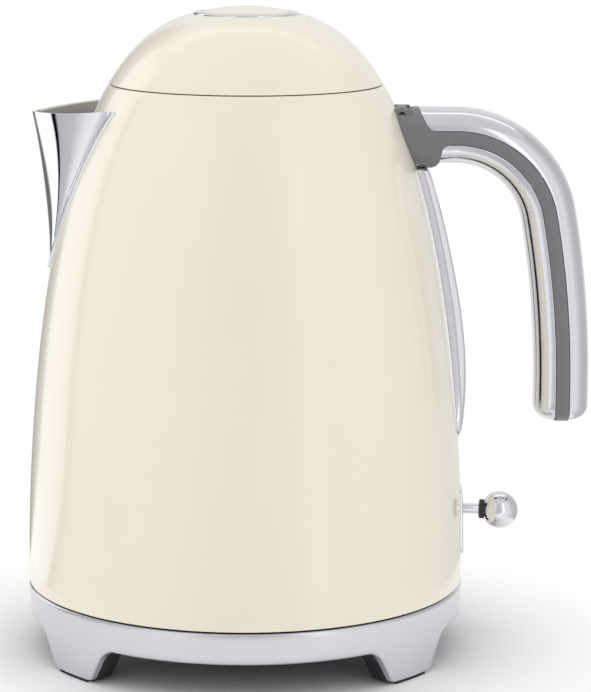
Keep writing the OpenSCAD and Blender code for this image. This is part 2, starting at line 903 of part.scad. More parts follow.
window_z = [gauge_z[0] + window_margin, gauge_z[1] - 3];
function gauge_share(z) = (z - gauge_z[0]) / (gauge_z[1] - gauge_z[0]);
function gauge_height(z) =
    let (u = max(0, min(1, gauge_share(z))))
    0.6 + gauge_proud * (1 - pow(1 - min(1, u / 0.45), 2.2)) * (1 - 0.24 * max(0, u - 0.5) * 2);
// A band along the gauge between two distances from its front curve
module gauge_band(front_in, z_low, z_high, depth_in, half) {
    zs = steps(z_low, z_high, 20);
    along_y(half)
        polygon(concat(
            [for (z = zs) [body_r(z) + gauge_height(z) - front_in, z]],
            [for (z = reversed(zs)) [body_r(z) - depth_in, z]]
        ));
}

module gauge_frame() {
    color("silver")
        difference() {
            intersection() {
                gauge_band(0, gauge_z[0] - 1, gauge_z[1], 4, gauge_w / 2);
                along_x(body_max_r / 2, body_max_r + 10) {
                    translate([0, gauge_z[0] + gauge_w / 2]) circle(d = gauge_w);
                    translate([-gauge_w / 2, gauge_z[0] + gauge_w / 2])
                        square([gauge_w, gauge_z[1] - gauge_z[0] - gauge_w / 2]);
                }
            }
            body_core(-fit_gap, gauge_z[0] - 5, gauge_z[1] + 5);
            window_slot();
        }
}

module window_slot() {
    along_x(body_max_r / 2, body_max_r + 10) stadium(window_w + 2 * fit_gap, window_z[0], window_z[1]);
}

module gauge_window() {
    color("lightcyan", 0.5)
        intersection() {
            gauge_band(0.8, window_z[0], window_z[1], 3.2, window_w / 2);
            along_x(body_max_r / 2, body_max_r + 10)
                stadium(window_w, window_z[0] + 2 * fit_gap, window_z[1] - 2 * fit_gap);
        }
}

module gauge_seal() {
    color("dimgray")
        difference() {
            intersection() {
                body_layer(lining_in, 3.2, window_z[0] - 4, window_z[1] + 1);
                along_x(body_max_r / 2, body_max_r + 10)
                    stadium(window_w + 5, window_z[0] - 2.5, window_z[1] + 0.8);
            }
            window_slot();
        }
}

// ---- Handle ----

grip_section_steps = 16;
lower_len = lower_r * lower_turn * PI / 180;
bend_len = bend_r * bend_turn * PI / 180;
bend_end = [bend_x + bend_r * sin(bend_turn), grip_top_z - bend_r * (1 - cos(bend_turn))];
// Place and heading of the handle's middle line: s is the distance past the start of the bend
function grip_place(s) =
    s <= 0 ? [bend_x + s, grip_top_z, 0]
    : s <= bend_len
        ? let (a = s / bend_r * 180 / PI)
          [bend_x + bend_r * sin(a), grip_top_z - bend_r * (1 - cos(a)), a]
    : let (
            a = bend_turn + min(lower_turn, (s - bend_len) / lower_r * 180 / PI),
            past = max(0, s - bend_len - lower_len)
        )
        [
            bend_end[0] + lower_r * (sin(a) - sin(bend_turn)) + past * cos(a),
            bend_end[1] - lower_r * (cos(bend_turn) - cos(a)) - past * sin(a),
            a
        ];
// A point of the section at s: y across, n outwards from the middle line
function grip_point(s, y, n) =
    let (p = grip_place(s))
    [p[0] + n * sin(p[2]), y, p[1] + n * cos(p[2])];
// Half the width of the section at height n
function grip_half_w(n, half_w, half_n) =
    half_w * pow(max(0, 1 - pow(abs(n / half_n), grip_square)), 1 / grip_square);
// Arc of the section from one side over its top to the other, above height n_low
function grip_arc(n_low, drop) =
    let (
        half_w = grip_w / 2 - drop,
        half_n = grip_half - drop,
        a0 = asin(pow(max(0, n_low / half_n), grip_square / 2))
    )
    [
        for (a = steps(a0, 180 - a0, grip_section_steps))
            [half_w * signed_pow(cos(a), 2 / grip_square), half_n * signed_pow(sin(a), 2 / grip_square)]
    ];
grip_total = bend_len + lower_len + tail_run + grip_end;
// How much of its size the section keeps near the rounded end
function end_scale(s, end) = sqrt(max(0.0025, 1 - pow(max(0, (s - (end - grip_end)) / grip_end), 2)));
// Rows close up towards the rounded end
function grip_rows(start, end) = concat(
    steps(start, 0, 4),
    [for (s = steps(0, bend_len, 16)) if (s > 0) s],
    [for (s = steps(bend_len, end - grip_end, 8)) if (s > bend_len) s],
    [for (a = steps(0, 88, 7)) if (a > 0) end - grip_end + grip_end * sin(a)]
);
shell_gap = strip_t / 2 + fit_gap;
// How far the start of the outer and of the inner shell leans back, for each mm towards the strip
shell_lean = [0.5, 0.12];

// Point p of a shell's section at s, drawn in to share k; the shell's start leans back with height
function shell_point(s, p, k, up, lean) =
    grip_point(s + lean * (grip_half - p[1]), p[0] * k, up * (shell_gap + (p[1] - shell_gap) * k));

// One chrome shell: up = 1 for the outer one and -1 for the inner one
module grip_shell(up, start_x) {
    outer_s = grip_rows(start_x - bend_x, grip_total);
    inner_s = grip_rows(start_x - bend_x, grip_total - grip_wall);
    outside = grip_arc(shell_gap, 0);
    inside = grip_arc(shell_gap, grip_wall);
    rows = [
        for (i = [0 : len(outer_s) - 1])
            let (
                so = outer_s[i],
                si = inner_s[i],
                ko = end_scale(so, grip_total),
                ki = end_scale(si, grip_total - grip_wall),
                lean = shell_lean[up > 0 ? 0 : 1] * max(0, 1 - i / 4)
            )
            concat(
                [for (p = outside) shell_point(so, p, ko, up, lean)],
                [for (p = reversed(inside)) shell_point(si, p, ki, up, lean)]
            )
    ];
    loft(up > 0 ? [for (row = rows) reversed(row)] : rows);
}

module handle_outer_shell() { color("silver") grip_shell(1, shell_start_x[0]); }

module handle_inner_shell() { color("silver") grip_shell(-1, shell_start_x[1]); }

// The grey plate between the shells
module grip_strip() {
    s_list = grip_rows(shell_start_x[1] - 3 - bend_x, grip_total);
    half_t = strip_t / 2;
    edge = grip_half_w(half_t, grip_w / 2, grip_half);
    rows = [
        for (s = s_list)
            let (k = end_scale(s, grip_total))
            [
                for (p = [[-edge, 1], [0, 1], [edge, 1], [edge, -1], [0, -1], [-edge, -1]])
                    grip_point(s, p[0] * k, p[1] * half_t)
            ]
    ];
    loft(rows);
}

// The block at the handle's root: from the jug's wall to the ends of the chrome shells
root_drop = 1.2;
pocket_start_x = root_x - 8;
pocket_end_x = hinge_x + knuckle_r + 0.9;
ear_w = 2.6;

module root_block() {
    n_count = 40;
    past_end = 2;
    ring = [
        for (i = [0 : n_count - 1])
            let (a = -90 + 360 * (i + 0.5) / n_count, p = 2 / grip_square)
            [grip_w / 2 * signed_pow(cos(a), p), grip_half * signed_pow(sin(a), p)]
    ];
    // The lower face drops a little towards the jug
    rows = [
        for (t = [0 : 2])
            [
                for (p = ring)
                    let (
                        drop = t == 0 && p[1] < 0 ? root_drop * abs(p[1]) / grip_half : 0,
                        z = grip_top_z + p[1] - drop,
                        x_in = sqrt(pow(body_r(z), 2) - p[0] * p[0]) - 3
                    )
                    [t == 0 ? x_in : shell_start_x[1] + past_end * (t - 1), p[0], z]
            ]
    ];
    intersection() {
        loft([for (row = rows) reversed(row)]);
        translate([0, 0, grip_top_z]) along_y(grip_w) polygon(root_end());
    }
}

// The block seen from the side: above and below the strip it ends against the chrome shells
function root_end() =
    let (
        strip_half = strip_t / 2,
        reach = grip_half + 2 * cut,
        high_x = shell_start_x[0] - fit_gap,
        low_x = shell_start_x[1] - fit_gap
    )
    [
        [body_max_r / 2, reach],
        [high_x + shell_lean[0] * (grip_half - reach), reach],
        [high_x + shell_lean[0] * (grip_half - strip_half), strip_half],
        [low_x, strip_half],
        [low_x, -strip_half],
        [low_x + shell_lean[1] * (grip_half - strip_half), -strip_half],
        [low_x + shell_lean[1] * (grip_half - reach), -reach],
        [body_max_r / 2, -reach]
    ];

module handle_core() {
    pocket_half = arm_slot_half + ear_w + 0.1;
    pocket_h = 20;
    color("gray") {
        difference() {
            root_block();
            body_core(-fit_gap, grip_top_z - grip_depth, grip_top_z + grip_depth);
            translate([pocket_start_x, -pocket_half, pocket_floor_z])
                cube([pocket_end_x - pocket_start_x, 2 * pocket_half, pocket_h]);
            for (y = [-bracket_screw_y, bracket_screw_y])
                rod_x(
                    handle_screw_r + fit_gap,
                    pocket_start_x,
                    root_x + handle_screw_reach + fit_gap,
                    y,
                    bracket_screw_z
                );
        }
        grip_strip();
    }
}

// Curved steel plate inside the jug that the handle is screwed to
module handle_bracket() {
    half_w = 14;
    half_h = 6;
    low_z = bracket_screw_z - half_h;
    color("silver")
        difference() {
            intersection() {
                body_layer(lining_in, lining_in + bracket_t, low_z, low_z + 2 * half_h);
                translate([0, -half_w, low_z - cut])
                    cube([body_max_r, 2 * half_w, 2 * (half_h + cut)]);
            }
            for (y = [-bracket_screw_y, bracket_screw_y])
                rod_x(handle_screw_r + fit_gap, 0, body_max_r, y, bracket_screw_z);
        }
}

module handle_screws() {
    head_h = 2.4;
    seat_r = body_r(bracket_screw_z + handle_head_r) - lining_in - bracket_t - fit_gap;
    seat_x = sqrt(pow(seat_r, 2) - pow(bracket_screw_y + handle_head_r, 2));
    color("slategray")
        for (y = [-bracket_screw_y, bracket_screw_y]) {
            rod_x(handle_head_r, seat_x - head_h, seat_x, y, bracket_screw_z);
            rod_x(handle_screw_r, seat_x, root_x + handle_screw_reach, y, bracket_screw_z);
        }
}

// Two ears that fill the sides of the pocket and carry the pin
module hinge_bracket() {
    bevel = 0.7;
    low_z = pocket_floor_z + fit_gap;
    high_z = hinge_z + pin_r + 1;
    color("dimgray")
        difference() {
            for (side = [0, 1])
                mirror([0, side, 0])
                    along_x(pocket_start_x, pocket_end_x - 2 * fit_gap)
                        translate([arm_slot_half, 0])
                            polygon([
                                [0, low_z],
                                [ear_w, low_z],
                                [ear_w, high_z - bevel],
                                [ear_w - bevel, high_z],
                                [0, high_z]
                            ]);
            body_core(-fit_gap, pocket_floor_z - 2, seam_z);
            rod_y(pin_r + 0.01, hinge_x, hinge_z, body_max_r / 2);
        }
}

module hinge_pin() {
    color("silver") rod_y(pin_r, hinge_x, hinge_z, arm_slot_half + ear_w);
}

// ---- Switch lever ----

module slot_plate() {
    plate_off = 0.9;
    color("silver")
        difference() {
            intersection() {
                body_layer(-plate_off, -fit_gap, slot_plate_z[0], slot_plate_z[1]);
                along_x(body_max_r / 2, body_max_r + 5)
                    translate([-slot_plate_w / 2, slot_plate_z[0] - 1])
                        square([slot_plate_w, slot_plate_z[1] - slot_plate_z[0] + 2]);
            }
            along_x(body_max_r / 2, body_max_r + 5) lever_slot(-0.05);
        }
}

cheek_gap = 4.2;
cheek_t = 2;
cheek_start = 3;
cheek_end = 3.2;
lever_pin_r = 1.2;

module switch_bracket() {
    color("whitesmoke")
        difference() {
            for (side = [0, 1])
                mirror([0, side, 0])
                    translate([control_r - cheek_start, cheek_gap, control_z[0]])
                        cube([
                            lever_pivot_x + cheek_end - control_r + cheek_start,
                            cheek_t,
                            lever_pivot_z + cheek_end - control_z[0]
                        ]);
            disc(control_r + fit_gap, control_z[0] - cut, control_z[1] + cut);
            rod_y(lever_pin_r + 0.01, lever_pivot_x, lever_pivot_z, cheek_gap + cheek_t + cut);
        }
}

module lever_pin() {
    color("silver") rod_y(lever_pin_r, lever_pivot_x, lever_pivot_z, cheek_gap + cheek_t);
}

// The lever's own axis: x runs outwards from the pivot
module on_lever() {
    translate([lever_pivot_x, 0, lever_pivot_z]) rotate([0, lever_fall, 0]) children();
}

collar_len = 2.6;
collar_r = 3.8;
// How far the collar reaches over the ball
collar_reach = 1.75;
rocker_len = 26;
spigot_r = stem_r - 0.5;
spigot_len = 7;

module lever_rocker() {
    hub_r = 3.2;
    rocker_half_h = 2.8;
    color("dimgray")
        difference() {
            union() {
                rod_y(hub_r, lever_pivot_x, lever_pivot_z, cheek_gap - move_gap);
                on_lever()
                    translate([0, -stem_r, -rocker_half_h])
                        cube([rocker_len, 2 * stem_r, 2 * rocker_half_h]);
            }
            rod_y(lever_pin_r + run_gap, lever_pivot_x, lever_pivot_z, cheek_gap + cut);
            on_lever() rod_x(spigot_r + fit_gap, rocker_len - spigot_len - cut, rocker_len + cut, 0, 0);
        }
}

module lever_stem() {
    color("silver")
        on_lever() {
            rod_x(spigot_r, rocker_len - spigot_len, rocker_len + cut, 0, 0);
            rod_x(stem_r, rocker_len + fit_gap, ball_reach - ball_r + 1.2, 0, 0);
        }
}

module lever_collar() {
    start = ball_reach - ball_r - collar_len + collar_reach;
    color("black")
        on_lever()
            difference() {
                rod_x(collar_r, start, start + collar_len, 0, 0);
                rod_x(stem_r + fit_gap, start - cut, start + collar_len + cut, 0, 0);
                translate([ball_reach, 0, 0]) sphere(r = ball_r + fit_gap);
            }
}

module lever_knob() {
    color("silver")
        on_lever()
            difference() {
                translate([ball_reach, 0, 0]) sphere(r = ball_r);
                rod_x(stem_r + fit_gap, 0, ball_reach - ball_r + 1.3, 0, 0);
            }
}

// ---- Lid ----

module lid_shell() {
    top_z = height_at(ring_r + 0.15);
    zs = steps(lid_bottom_z, top_z, 20);
    inner_zs = reversed(steps(lid_bottom_z, top_z - shell_wall - 0.4, 20));
    color("cornsilk")
        difference() {
            revolve(concat(
                [for (z = zs) [body_r(z), z]],
                [[ring_r + 0.15, top_z - shell_wall]],
                [for (z = inner_zs) [body_point(z, shell_wall)[0], z]]
            ));
            translate([mouth_r - 4, -arm_w / 2 - fit_gap, lid_bottom_z - cut])
                cube([20, arm_w + 2 * fit_gap, arm_top_z - lid_bottom_z + cut + fit_gap]);
        }
}

ring_depth = 7;

module lid_ring() {
    lip = 0.7;
    color("silver")
        revolve(concat(
            [[ring_r, ring_top_z - ring_depth]],
            arc(ring_r - lip, ring_top_z - lip, lip, 0, 90, 5),
            arc(button_r + move_gap + lip, ring_top_z - lip, lip, 90, 180, 5),
            [[button_r + move_gap, ring_top_z - ring_depth]]
        ));
}

housing_depth = 14;
housing_z = ring_top_z - housing_depth;
housing_floor_t = 1.5;

module button_housing() {
    guide_r = button_stem_r + move_gap;
    color("gainsboro")
        difference() {
            disc(ring_r, housing_z, ring_top_z - ring_depth - fit_gap);
            disc(button_r + move_gap, housing_z + housing_floor_t, ring_top_z);
            disc(guide_r, housing_z - cut, housing_z + housing_floor_t + cut);
        }
}

button_stem_r = 2.8;
button_edge = 1.9;
button_crown = 1.5;
button_skin = 1.6;

module lid_button() {
    side_top = button_top_z - button_crown;
    skin_t = button_skin;
    bottom_z = housing_z + housing_floor_t + button_travel + 0.8;
    color("cornsilk") {
        revolve(concat(
            [[0, side_top - skin_t]],
            [[button_r - skin_t, side_top - skin_t], [button_r - skin_t, bottom_z], [button_r, bottom_z]],
            [
                for (a = steps(0, 90, 12))
                    [
                        button_r - button_edge + button_edge * cos(a),
                        side_top - button_edge * 0.35 + button_edge * 0.35 * sin(a)
                    ]
            ],
            [
                for (t = steps(0.9, 0, 6))
                    [(button_r - button_edge) * t, button_top_z - (button_top_z - side_top) * pow(t, 2)]
            ]
        ));
        disc(button_stem_r, stem_tip_z, side_top - skin_t + 0.5);
    }
}

spring_wire_r = 0.5;
spring_r = 6;
spring_turns = 4;

module coil(radius, wire_r, turns, height) {
    around = 6;
    per_turn = 20;
    count = turns * per_turn;
    rows = [
        for (i = [0 : count])
            let (a = 360 * i / per_turn, z = height * i / count)
            [
                for (k = [0 : around - 1])
                    let (b = 360 * (k + 0.5) / around, r = radius + wire_r * cos(b))
                    [r * cos(a), r * sin(a), z + wire_r * sin(b)]
            ]
    ];
    loft(rows);
}

module button_spring() {
    low = housing_z + housing_floor_t + spring_wire_r;
    high = button_top_z - button_crown - button_skin - 2 * spring_wire_r;
    color("silver")
        translate([0, 0, low]) coil(spring_r, spring_wire_r, spring_turns, high - low);
}

plug_wall = 2;
plug_flange_r = body_r(flange_top_z) - arm_t * sqrt(1 + pow(body_slope(flange_top_z), 2)) - move_gap;

module lid_liner() {
    rail_w = 1.5;
    flange_w = 8;
    rail_z = plug_z + plug_wall / 2;
    latch_low_z = latch_z - latch_size[1] / 2 - move_gap;
    latch_half = latch_size[0] / 2;
    color("gainsboro")
        difference() {
            union() {
                disc(plug_flange_r, flange_z, flange_top_z);
                tube(plug_r, plug_r - plug_wall, plug_z, flange_top_z);
                disc(plug_r, plug_z, plug_z + plug_wall);
                // Rails that the latch bolt slides on, and the stop of its spring
                for (side = [0, 1])
                    mirror([0, side, 0])
                        translate([-plug_r + plug_wall, latch_half - 2, rail_z])
                            cube([plug_r, rail_w, latch_low_z - rail_z]);
                translate([latch_stop_x, -latch_half, rail_z])
                    cube([plug_wall, latch_size[0], latch_z + latch_size[1] - plug_z]);
            }
            disc(plug_r - plug_wall - flange_w, flange_z - cut, flange_top_z + cut);
            translate([-plug_r - cut, -latch_half - move_gap, latch_low_z])
                cube([plug_wall + 2 * cut, latch_size[0] + 2 * move_gap, latch_size[1] + 2 * move_gap]);
            for (y = [-hinge_screw_y, hinge_screw_y])
                translate([hinge_screw_x, y, 0])
                    disc(screw_r + fit_gap, flange_z - cut, flange_top_z + cut);
        }
}

module lid_seal() {
    color("dimgray") tube(plug_flange_r - 0.5, plug_r + 0.8, seat_top_z + move_gap, flange_z);
}

hinge_screw_y = 4;
hinge_screw_x = 38;

arm_foot_t = 2.2;

module hinge_arm() {
    foot_z = flange_top_z;
    foot_top_z = foot_z + arm_foot_t;
    neck_low_z = hinge_z - pin_r;
    neck_levels = steps(neck_low_z, arm_top_z, 14);
    foot_start_x = plug_r - plug_wall - 9;
    color("cornsilk")
        difference() {
            union() {
                // The neck lies flush with the dome
                intersection() {
                    along_y(arm_w / 2)
                        polygon(concat(
                            [for (z = neck_levels) [body_r(z), z]],
                            [for (z = reversed(neck_levels)) body_point(z, arm_t)]
                        ));
                    body_core(0, neck_low_z - 2 * arm_t, arm_top_z + cut);
                }
                along_y(arm_w / 2)
                    polygon([
                        [foot_start_x, foot_z],
                        [body_point(foot_z + 1.5, arm_t)[0] + 0.3, foot_z],
                        body_point(foot_top_z + 1.5, arm_t - 0.5),
                        [hinge_screw_x + screw_head_r + 0.6, foot_top_z],
                        [foot_start_x, foot_top_z]
                    ]);
                rod_y(knuckle_r, hinge_x, hinge_z, arm_w / 2);
            }
            rod_y(pin_r + run_gap, hinge_x, hinge_z, body_max_r / 2);
            for (y = [-hinge_screw_y, hinge_screw_y])
                translate([hinge_screw_x, y, 0])
                    disc(screw_r + fit_gap, foot_z - cut, foot_top_z + cut);
        }
}

module hinge_screws() {
    head_z = flange_top_z + arm_foot_t;
    color("slategray")
        for (y = [-hinge_screw_y, hinge_screw_y])
            translate([hinge_screw_x, y, 0]) {
                disc(screw_head_r, head_z, head_z + screw_head_h);
                disc(screw_r, flange_z - 2, head_z);
            }
}

latch_back_x = button_stem_r + 0.4;
latch_spring_len = 10;
latch_stop_x = latch_back_x + latch_spring_len;
latch_pull = 3;
stem_tip_z = housing_z - button_travel + 1;

module latch_bolt() {
    nose_x = -mouth_r + move_gap;
    w = latch_size[0];
    top_z = latch_z + latch_size[1] / 2;
    ramp_top_z = stem_tip_z - move_gap;
    ramp_run = (ramp_top_z - top_z) * latch_pull / button_travel;
    color("gainsboro") {
        translate([nose_x, -w / 2, latch_z - latch_size[1] / 2])
            cube([latch_back_x - nose_x, w, latch_size[1]]);
        // The ramp that the button's stem pushes on
        along_y(button_stem_r)
            polygon([
                [latch_back_x - ramp_run, top_z - 0.1],
                [latch_back_x, top_z - 0.1],
                [latch_back_x, ramp_top_z]
            ]);
    }
}

module latch_spring() {
    wire_r = 0.3;
    color("silver")
        translate([latch_back_x + wire_r, 0, latch_z])
            rotate([0, 90, 0]) coil(1.6, wire_r, 5, latch_spring_len - 2 * wire_r);
}

base_ring();
foot_pads();
base_deck();
base_cover();
base_screws();
base_socket();
socket_contacts();
cable_gland();
cord_clamp();
clamp_screws();
glide_ring();
body_shell();
mouth_collar();
vessel_floor();
floor_seal();
heat_spreader();
heating_element();
control_block();
bimetal_disc();
jug_connector();
jug_contacts();
bottom_cover();
cover_screws();
steam_tube();
spout();
filter_guides();
gauge_frame();
gauge_window();
gauge_seal();
handle_core();
handle_outer_shell();
handle_inner_shell();
handle_bracket();
handle_screws();
hinge_bracket();
hinge_pin();
slot_plate();
switch_bracket();
lever_pin();
lid_shell();
lid_ring();
button_housing();
lid_liner();
lid_seal();
hinge_arm();
hinge_screws();
lid_button();
button_spring();
latch_bolt();
latch_spring();
lever_knob();
lever_collar();
lever_stem();
lever_rocker();
filter_frame();
filter_mesh();
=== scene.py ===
# Cordless electric kettle: its looks. Lengths in the shape functions are millimetres, with
# +Z up, +X to the handle and -X to the spout; every finished piece is brought to metres.

import math

import bmesh
import bpy
from mathutils import Matrix, Vector


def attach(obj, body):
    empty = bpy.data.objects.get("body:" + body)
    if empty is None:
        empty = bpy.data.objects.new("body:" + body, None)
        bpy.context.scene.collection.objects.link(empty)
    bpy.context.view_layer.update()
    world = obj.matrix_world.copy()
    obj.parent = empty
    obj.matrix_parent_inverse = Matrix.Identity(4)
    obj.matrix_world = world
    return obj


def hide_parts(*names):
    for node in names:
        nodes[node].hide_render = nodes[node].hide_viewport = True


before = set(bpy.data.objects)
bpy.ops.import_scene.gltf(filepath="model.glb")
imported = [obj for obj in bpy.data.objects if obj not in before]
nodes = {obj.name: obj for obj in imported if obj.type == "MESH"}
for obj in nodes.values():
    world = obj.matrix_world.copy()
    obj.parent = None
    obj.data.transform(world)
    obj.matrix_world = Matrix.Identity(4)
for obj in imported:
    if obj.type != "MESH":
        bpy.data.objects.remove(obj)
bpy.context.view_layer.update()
MM = 0.001

# ---- Shape of the jug and of what follows its curve ----

BELLY_R = 85.5
BELLY_Z = 20
DOME_H = 230.5
DOME_RISE = 2.16
DOME_ROUND = 2.91
SHELL_LOW = 27.3
SEAM_Z = 222
LID_Z = 222.35
SHELL_T = 1.2
SHELL_EDGE = 0.35
POCKET_HALF = 6.9
POCKET_Z = 206.2
HINGE = (60.03, 0, 210.8)
# The hair's breadth between a piece and the wall that it sits on
CLEAR = 0.05
NEAR = 0.05


def body_r(z):
    """Radius of jug and lid at a height"""
    if z <= BELLY_Z:
        return BELLY_R
    return BELLY_R * max(0, 1 - ((z - BELLY_Z) / DOME_H) ** DOME_RISE) ** (1 / DOME_ROUND)


def height_at(r):
    """Height at which jug and lid have a radius"""
    return BELLY_Z + DOME_H * (1 - (r / BELLY_R) ** DOME_ROUND) ** (1 / DOME_RISE)


def under_skin(z, depth):
    """Radius and height of a point below the painted surface, along its normal"""
    slope = (body_r(z + NEAR) - body_r(z - NEAR)) / (2 * NEAR)
    run = math.hypot(1, slope)
    return body_r(z) - depth / run, z + depth * slope / run


def span(a, b, count):
    """Evenly spaced values from a to b, both among them"""
    return [a + (b - a) * i / count for i in range(count + 1)]


def arc(cx, cy, r, start, end, count):
    """Points on a circle between two angles in degrees"""
    return [
        (cx + r * math.cos(math.radians(t)), cy + r * math.sin(math.radians(t)))
        for t in span(start, end, count)
    ]


def power(value, exponent):
    """A power that keeps the sign"""
    return math.copysign(abs(value) ** exponent, value)


# ---- Ways of making a piece ----


def lathe(outline, turns=160):
    """A (radius, height) outline turned about the upright axis

    One that starts on the axis also ends on it, and any other is closed.
    """
    bm = bmesh.new()
    verts = [bm.verts.new((r, 0, z)) for r, z in outline]
    edges = [bm.edges.new(pair) for pair in zip(verts, verts[1:])]
    if outline[0][0] > 0:
        edges.append(bm.edges.new((verts[-1], verts[0])))
    bmesh.ops.spin(
        bm,
        geom=verts + edges,
        cent=(0, 0, 0),
        axis=(0, 0, 1),
        angle=math.tau,
        steps=turns,
        use_merge=True,
    )
    return closed(bm)


def closed(bm):
    """Merges what coincides and turns every face outwards"""
    bmesh.ops.remove_doubles(bm, verts=bm.verts, dist=1e-4)
    bmesh.ops.dissolve_degenerate(bm, dist=1e-4, edges=bm.edges)
    bmesh.ops.recalc_face_normals(bm, faces=bm.faces)
    return bm


def soften(bm, width, segments=2, angle=35):
    """Rounds the edges where faces meet at more than an angle"""
    bm.edges.ensure_lookup_table()
    edges = [
        e
        for e in bm.edges
        if len(e.link_faces) == 2 and e.calc_face_angle(0) > math.radians(angle)
    ]
    bmesh.ops.bevel(
        bm,
        geom=edges,
        offset=width,
        offset_type="OFFSET",
        segments=segments,
        profile=0.5,
        affect="EDGES",
        material=-1,
        clamp_overlap=True,
    )
    return bm


def drawn_sheet(columns, rows, place):
    """A grid whose point at column i and row k is moved to place(i, k)"""
    bm = bmesh.new()
    bmesh.ops.create_grid(bm, x_segments=columns, y_segments=rows, size=0.5)
    for v in bm.verts:
        i = round((v.co.x + 0.5) * columns)
        k = round((v.co.y + 0.5) * rows)
        v.co = place(i, k)
    return bm


def plate(outline, low, high, axis):
    """A flat outline extruded along x, y or z; it is given in the other two, in alphabetical order"""

    def at(p, level):
        return {
            "x": (level, p[0], p[1]),
            "y": (p[0], level, p[1]),
            "z": (p[0], p[1], level),
        }[axis]

    bm = bmesh.new()
    face = bm.faces.new([bm.verts.new(at(p, low)) for p in outline])
    made = bmesh.ops.extrude_face_region(bm, geom=[face])
    moved = [g for g in made["geom"] if isinstance(g, bmesh.types.BMVert)]
    shift = Vector(at((0, 0), high)) - Vector(at((0, 0), low))
    bmesh.ops.translate(bm, vec=shift, verts=moved)
    bmesh.ops.recalc_face_normals(bm, faces=bm.faces)
    return bm


def rod(r, low, high, axis, at=(0, 0, 0), round_edge=0.0, sides=64):
    """A round bar along an axis, with its edges rounded"""
    bm = bmesh.new()
    bmesh.ops.create_cone(
        bm,
        cap_ends=True,
        segments=sides,
        radius1=r,
        radius2=r,
        depth=high - low,
        matrix=Matrix.Translation((0, 0, (low + high) / 2)),
    )
    if round_edge:
        soften(bm, round_edge, 3, 60)
    turn = {
        "x": Matrix.Rotation(math.pi / 2, 3, "Y"),
        "y": Matrix.Rotation(-math.pi / 2, 3, "X"),
        "z": Matrix.Identity(3),
    }[axis]
    bmesh.ops.rotate(bm, cent=(0, 0, 0), matrix=turn, verts=bm.verts)
    bmesh.ops.translate(bm, vec=at, verts=bm.verts)
    return bm


def combine(bm, tool, how):
    """Cuts one shape with another, joins them or keeps what they share"""
    shapes = []
    for name, source in (("kept", bm), ("tool", tool)):
        mesh = bpy.data.meshes.new(name)
        source.to_mesh(mesh)
        obj = bpy.data.objects.new(name, mesh)
        bpy.context.scene.collection.objects.link(obj)
        shapes.append(obj)
    cut = shapes[0].modifiers.new("cut", "BOOLEAN")
    cut.operation = how
    cut.solver = "EXACT"
    cut.object = shapes[1]
    view = bpy.context.evaluated_depsgraph_get()
    result = bpy.data.meshes.new_from_object(shapes[0].evaluated_get(view))
    bm.clear()
    tool.free()
    bm.from_mesh(result)
    bpy.data.meshes.remove(result)
    for obj in shapes:
        mesh = obj.data
        bpy.data.objects.remove(obj)
        bpy.data.meshes.remove(mesh)
    return bm


def joined(*shapes):
    """Several shapes in one mesh"""
    whole = bmesh.new()
    for bm in shapes:
        mesh = bpy.data.meshes.new("part")
        bm.to_mesh(mesh)
        bm.free()
        whole.from_mesh(mesh)
        bpy.data.meshes.remove(mesh)
    return whole


def piece(name, bm, finish, body, stands_for=(), smooth=32):
    """The shape as an object in metres, which rides on a body and may stand for CAD nodes"""
    bmesh.ops.scale(bm, vec=(MM, MM, MM), verts=bm.verts)
    mesh = bpy.data.meshes.new(name)
    bm.to_mesh(mesh)
    bm.free()
    mesh.shade_smooth()
    mesh.set_sharp_from_angle(angle=math.radians(smooth))
    mesh.materials.append(finish)
    obj = bpy.data.objects.new(name, mesh)
    bpy.context.scene.collection.objects.link(obj)
    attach(obj, body)
    if stands_for:
        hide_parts(*stands_for)
    return obj


# ---- Finishes ----


def linear(r, g, b):
    """A colour as it is seen, from 0 to 255, in the light's own scale"""
    return tuple(
        (c / 255 / 12.92 if c <= 10 else ((c / 255 + 0.055) / 1.055) ** 2.4)
        for c in (r, g, b)
    ) + (1,)


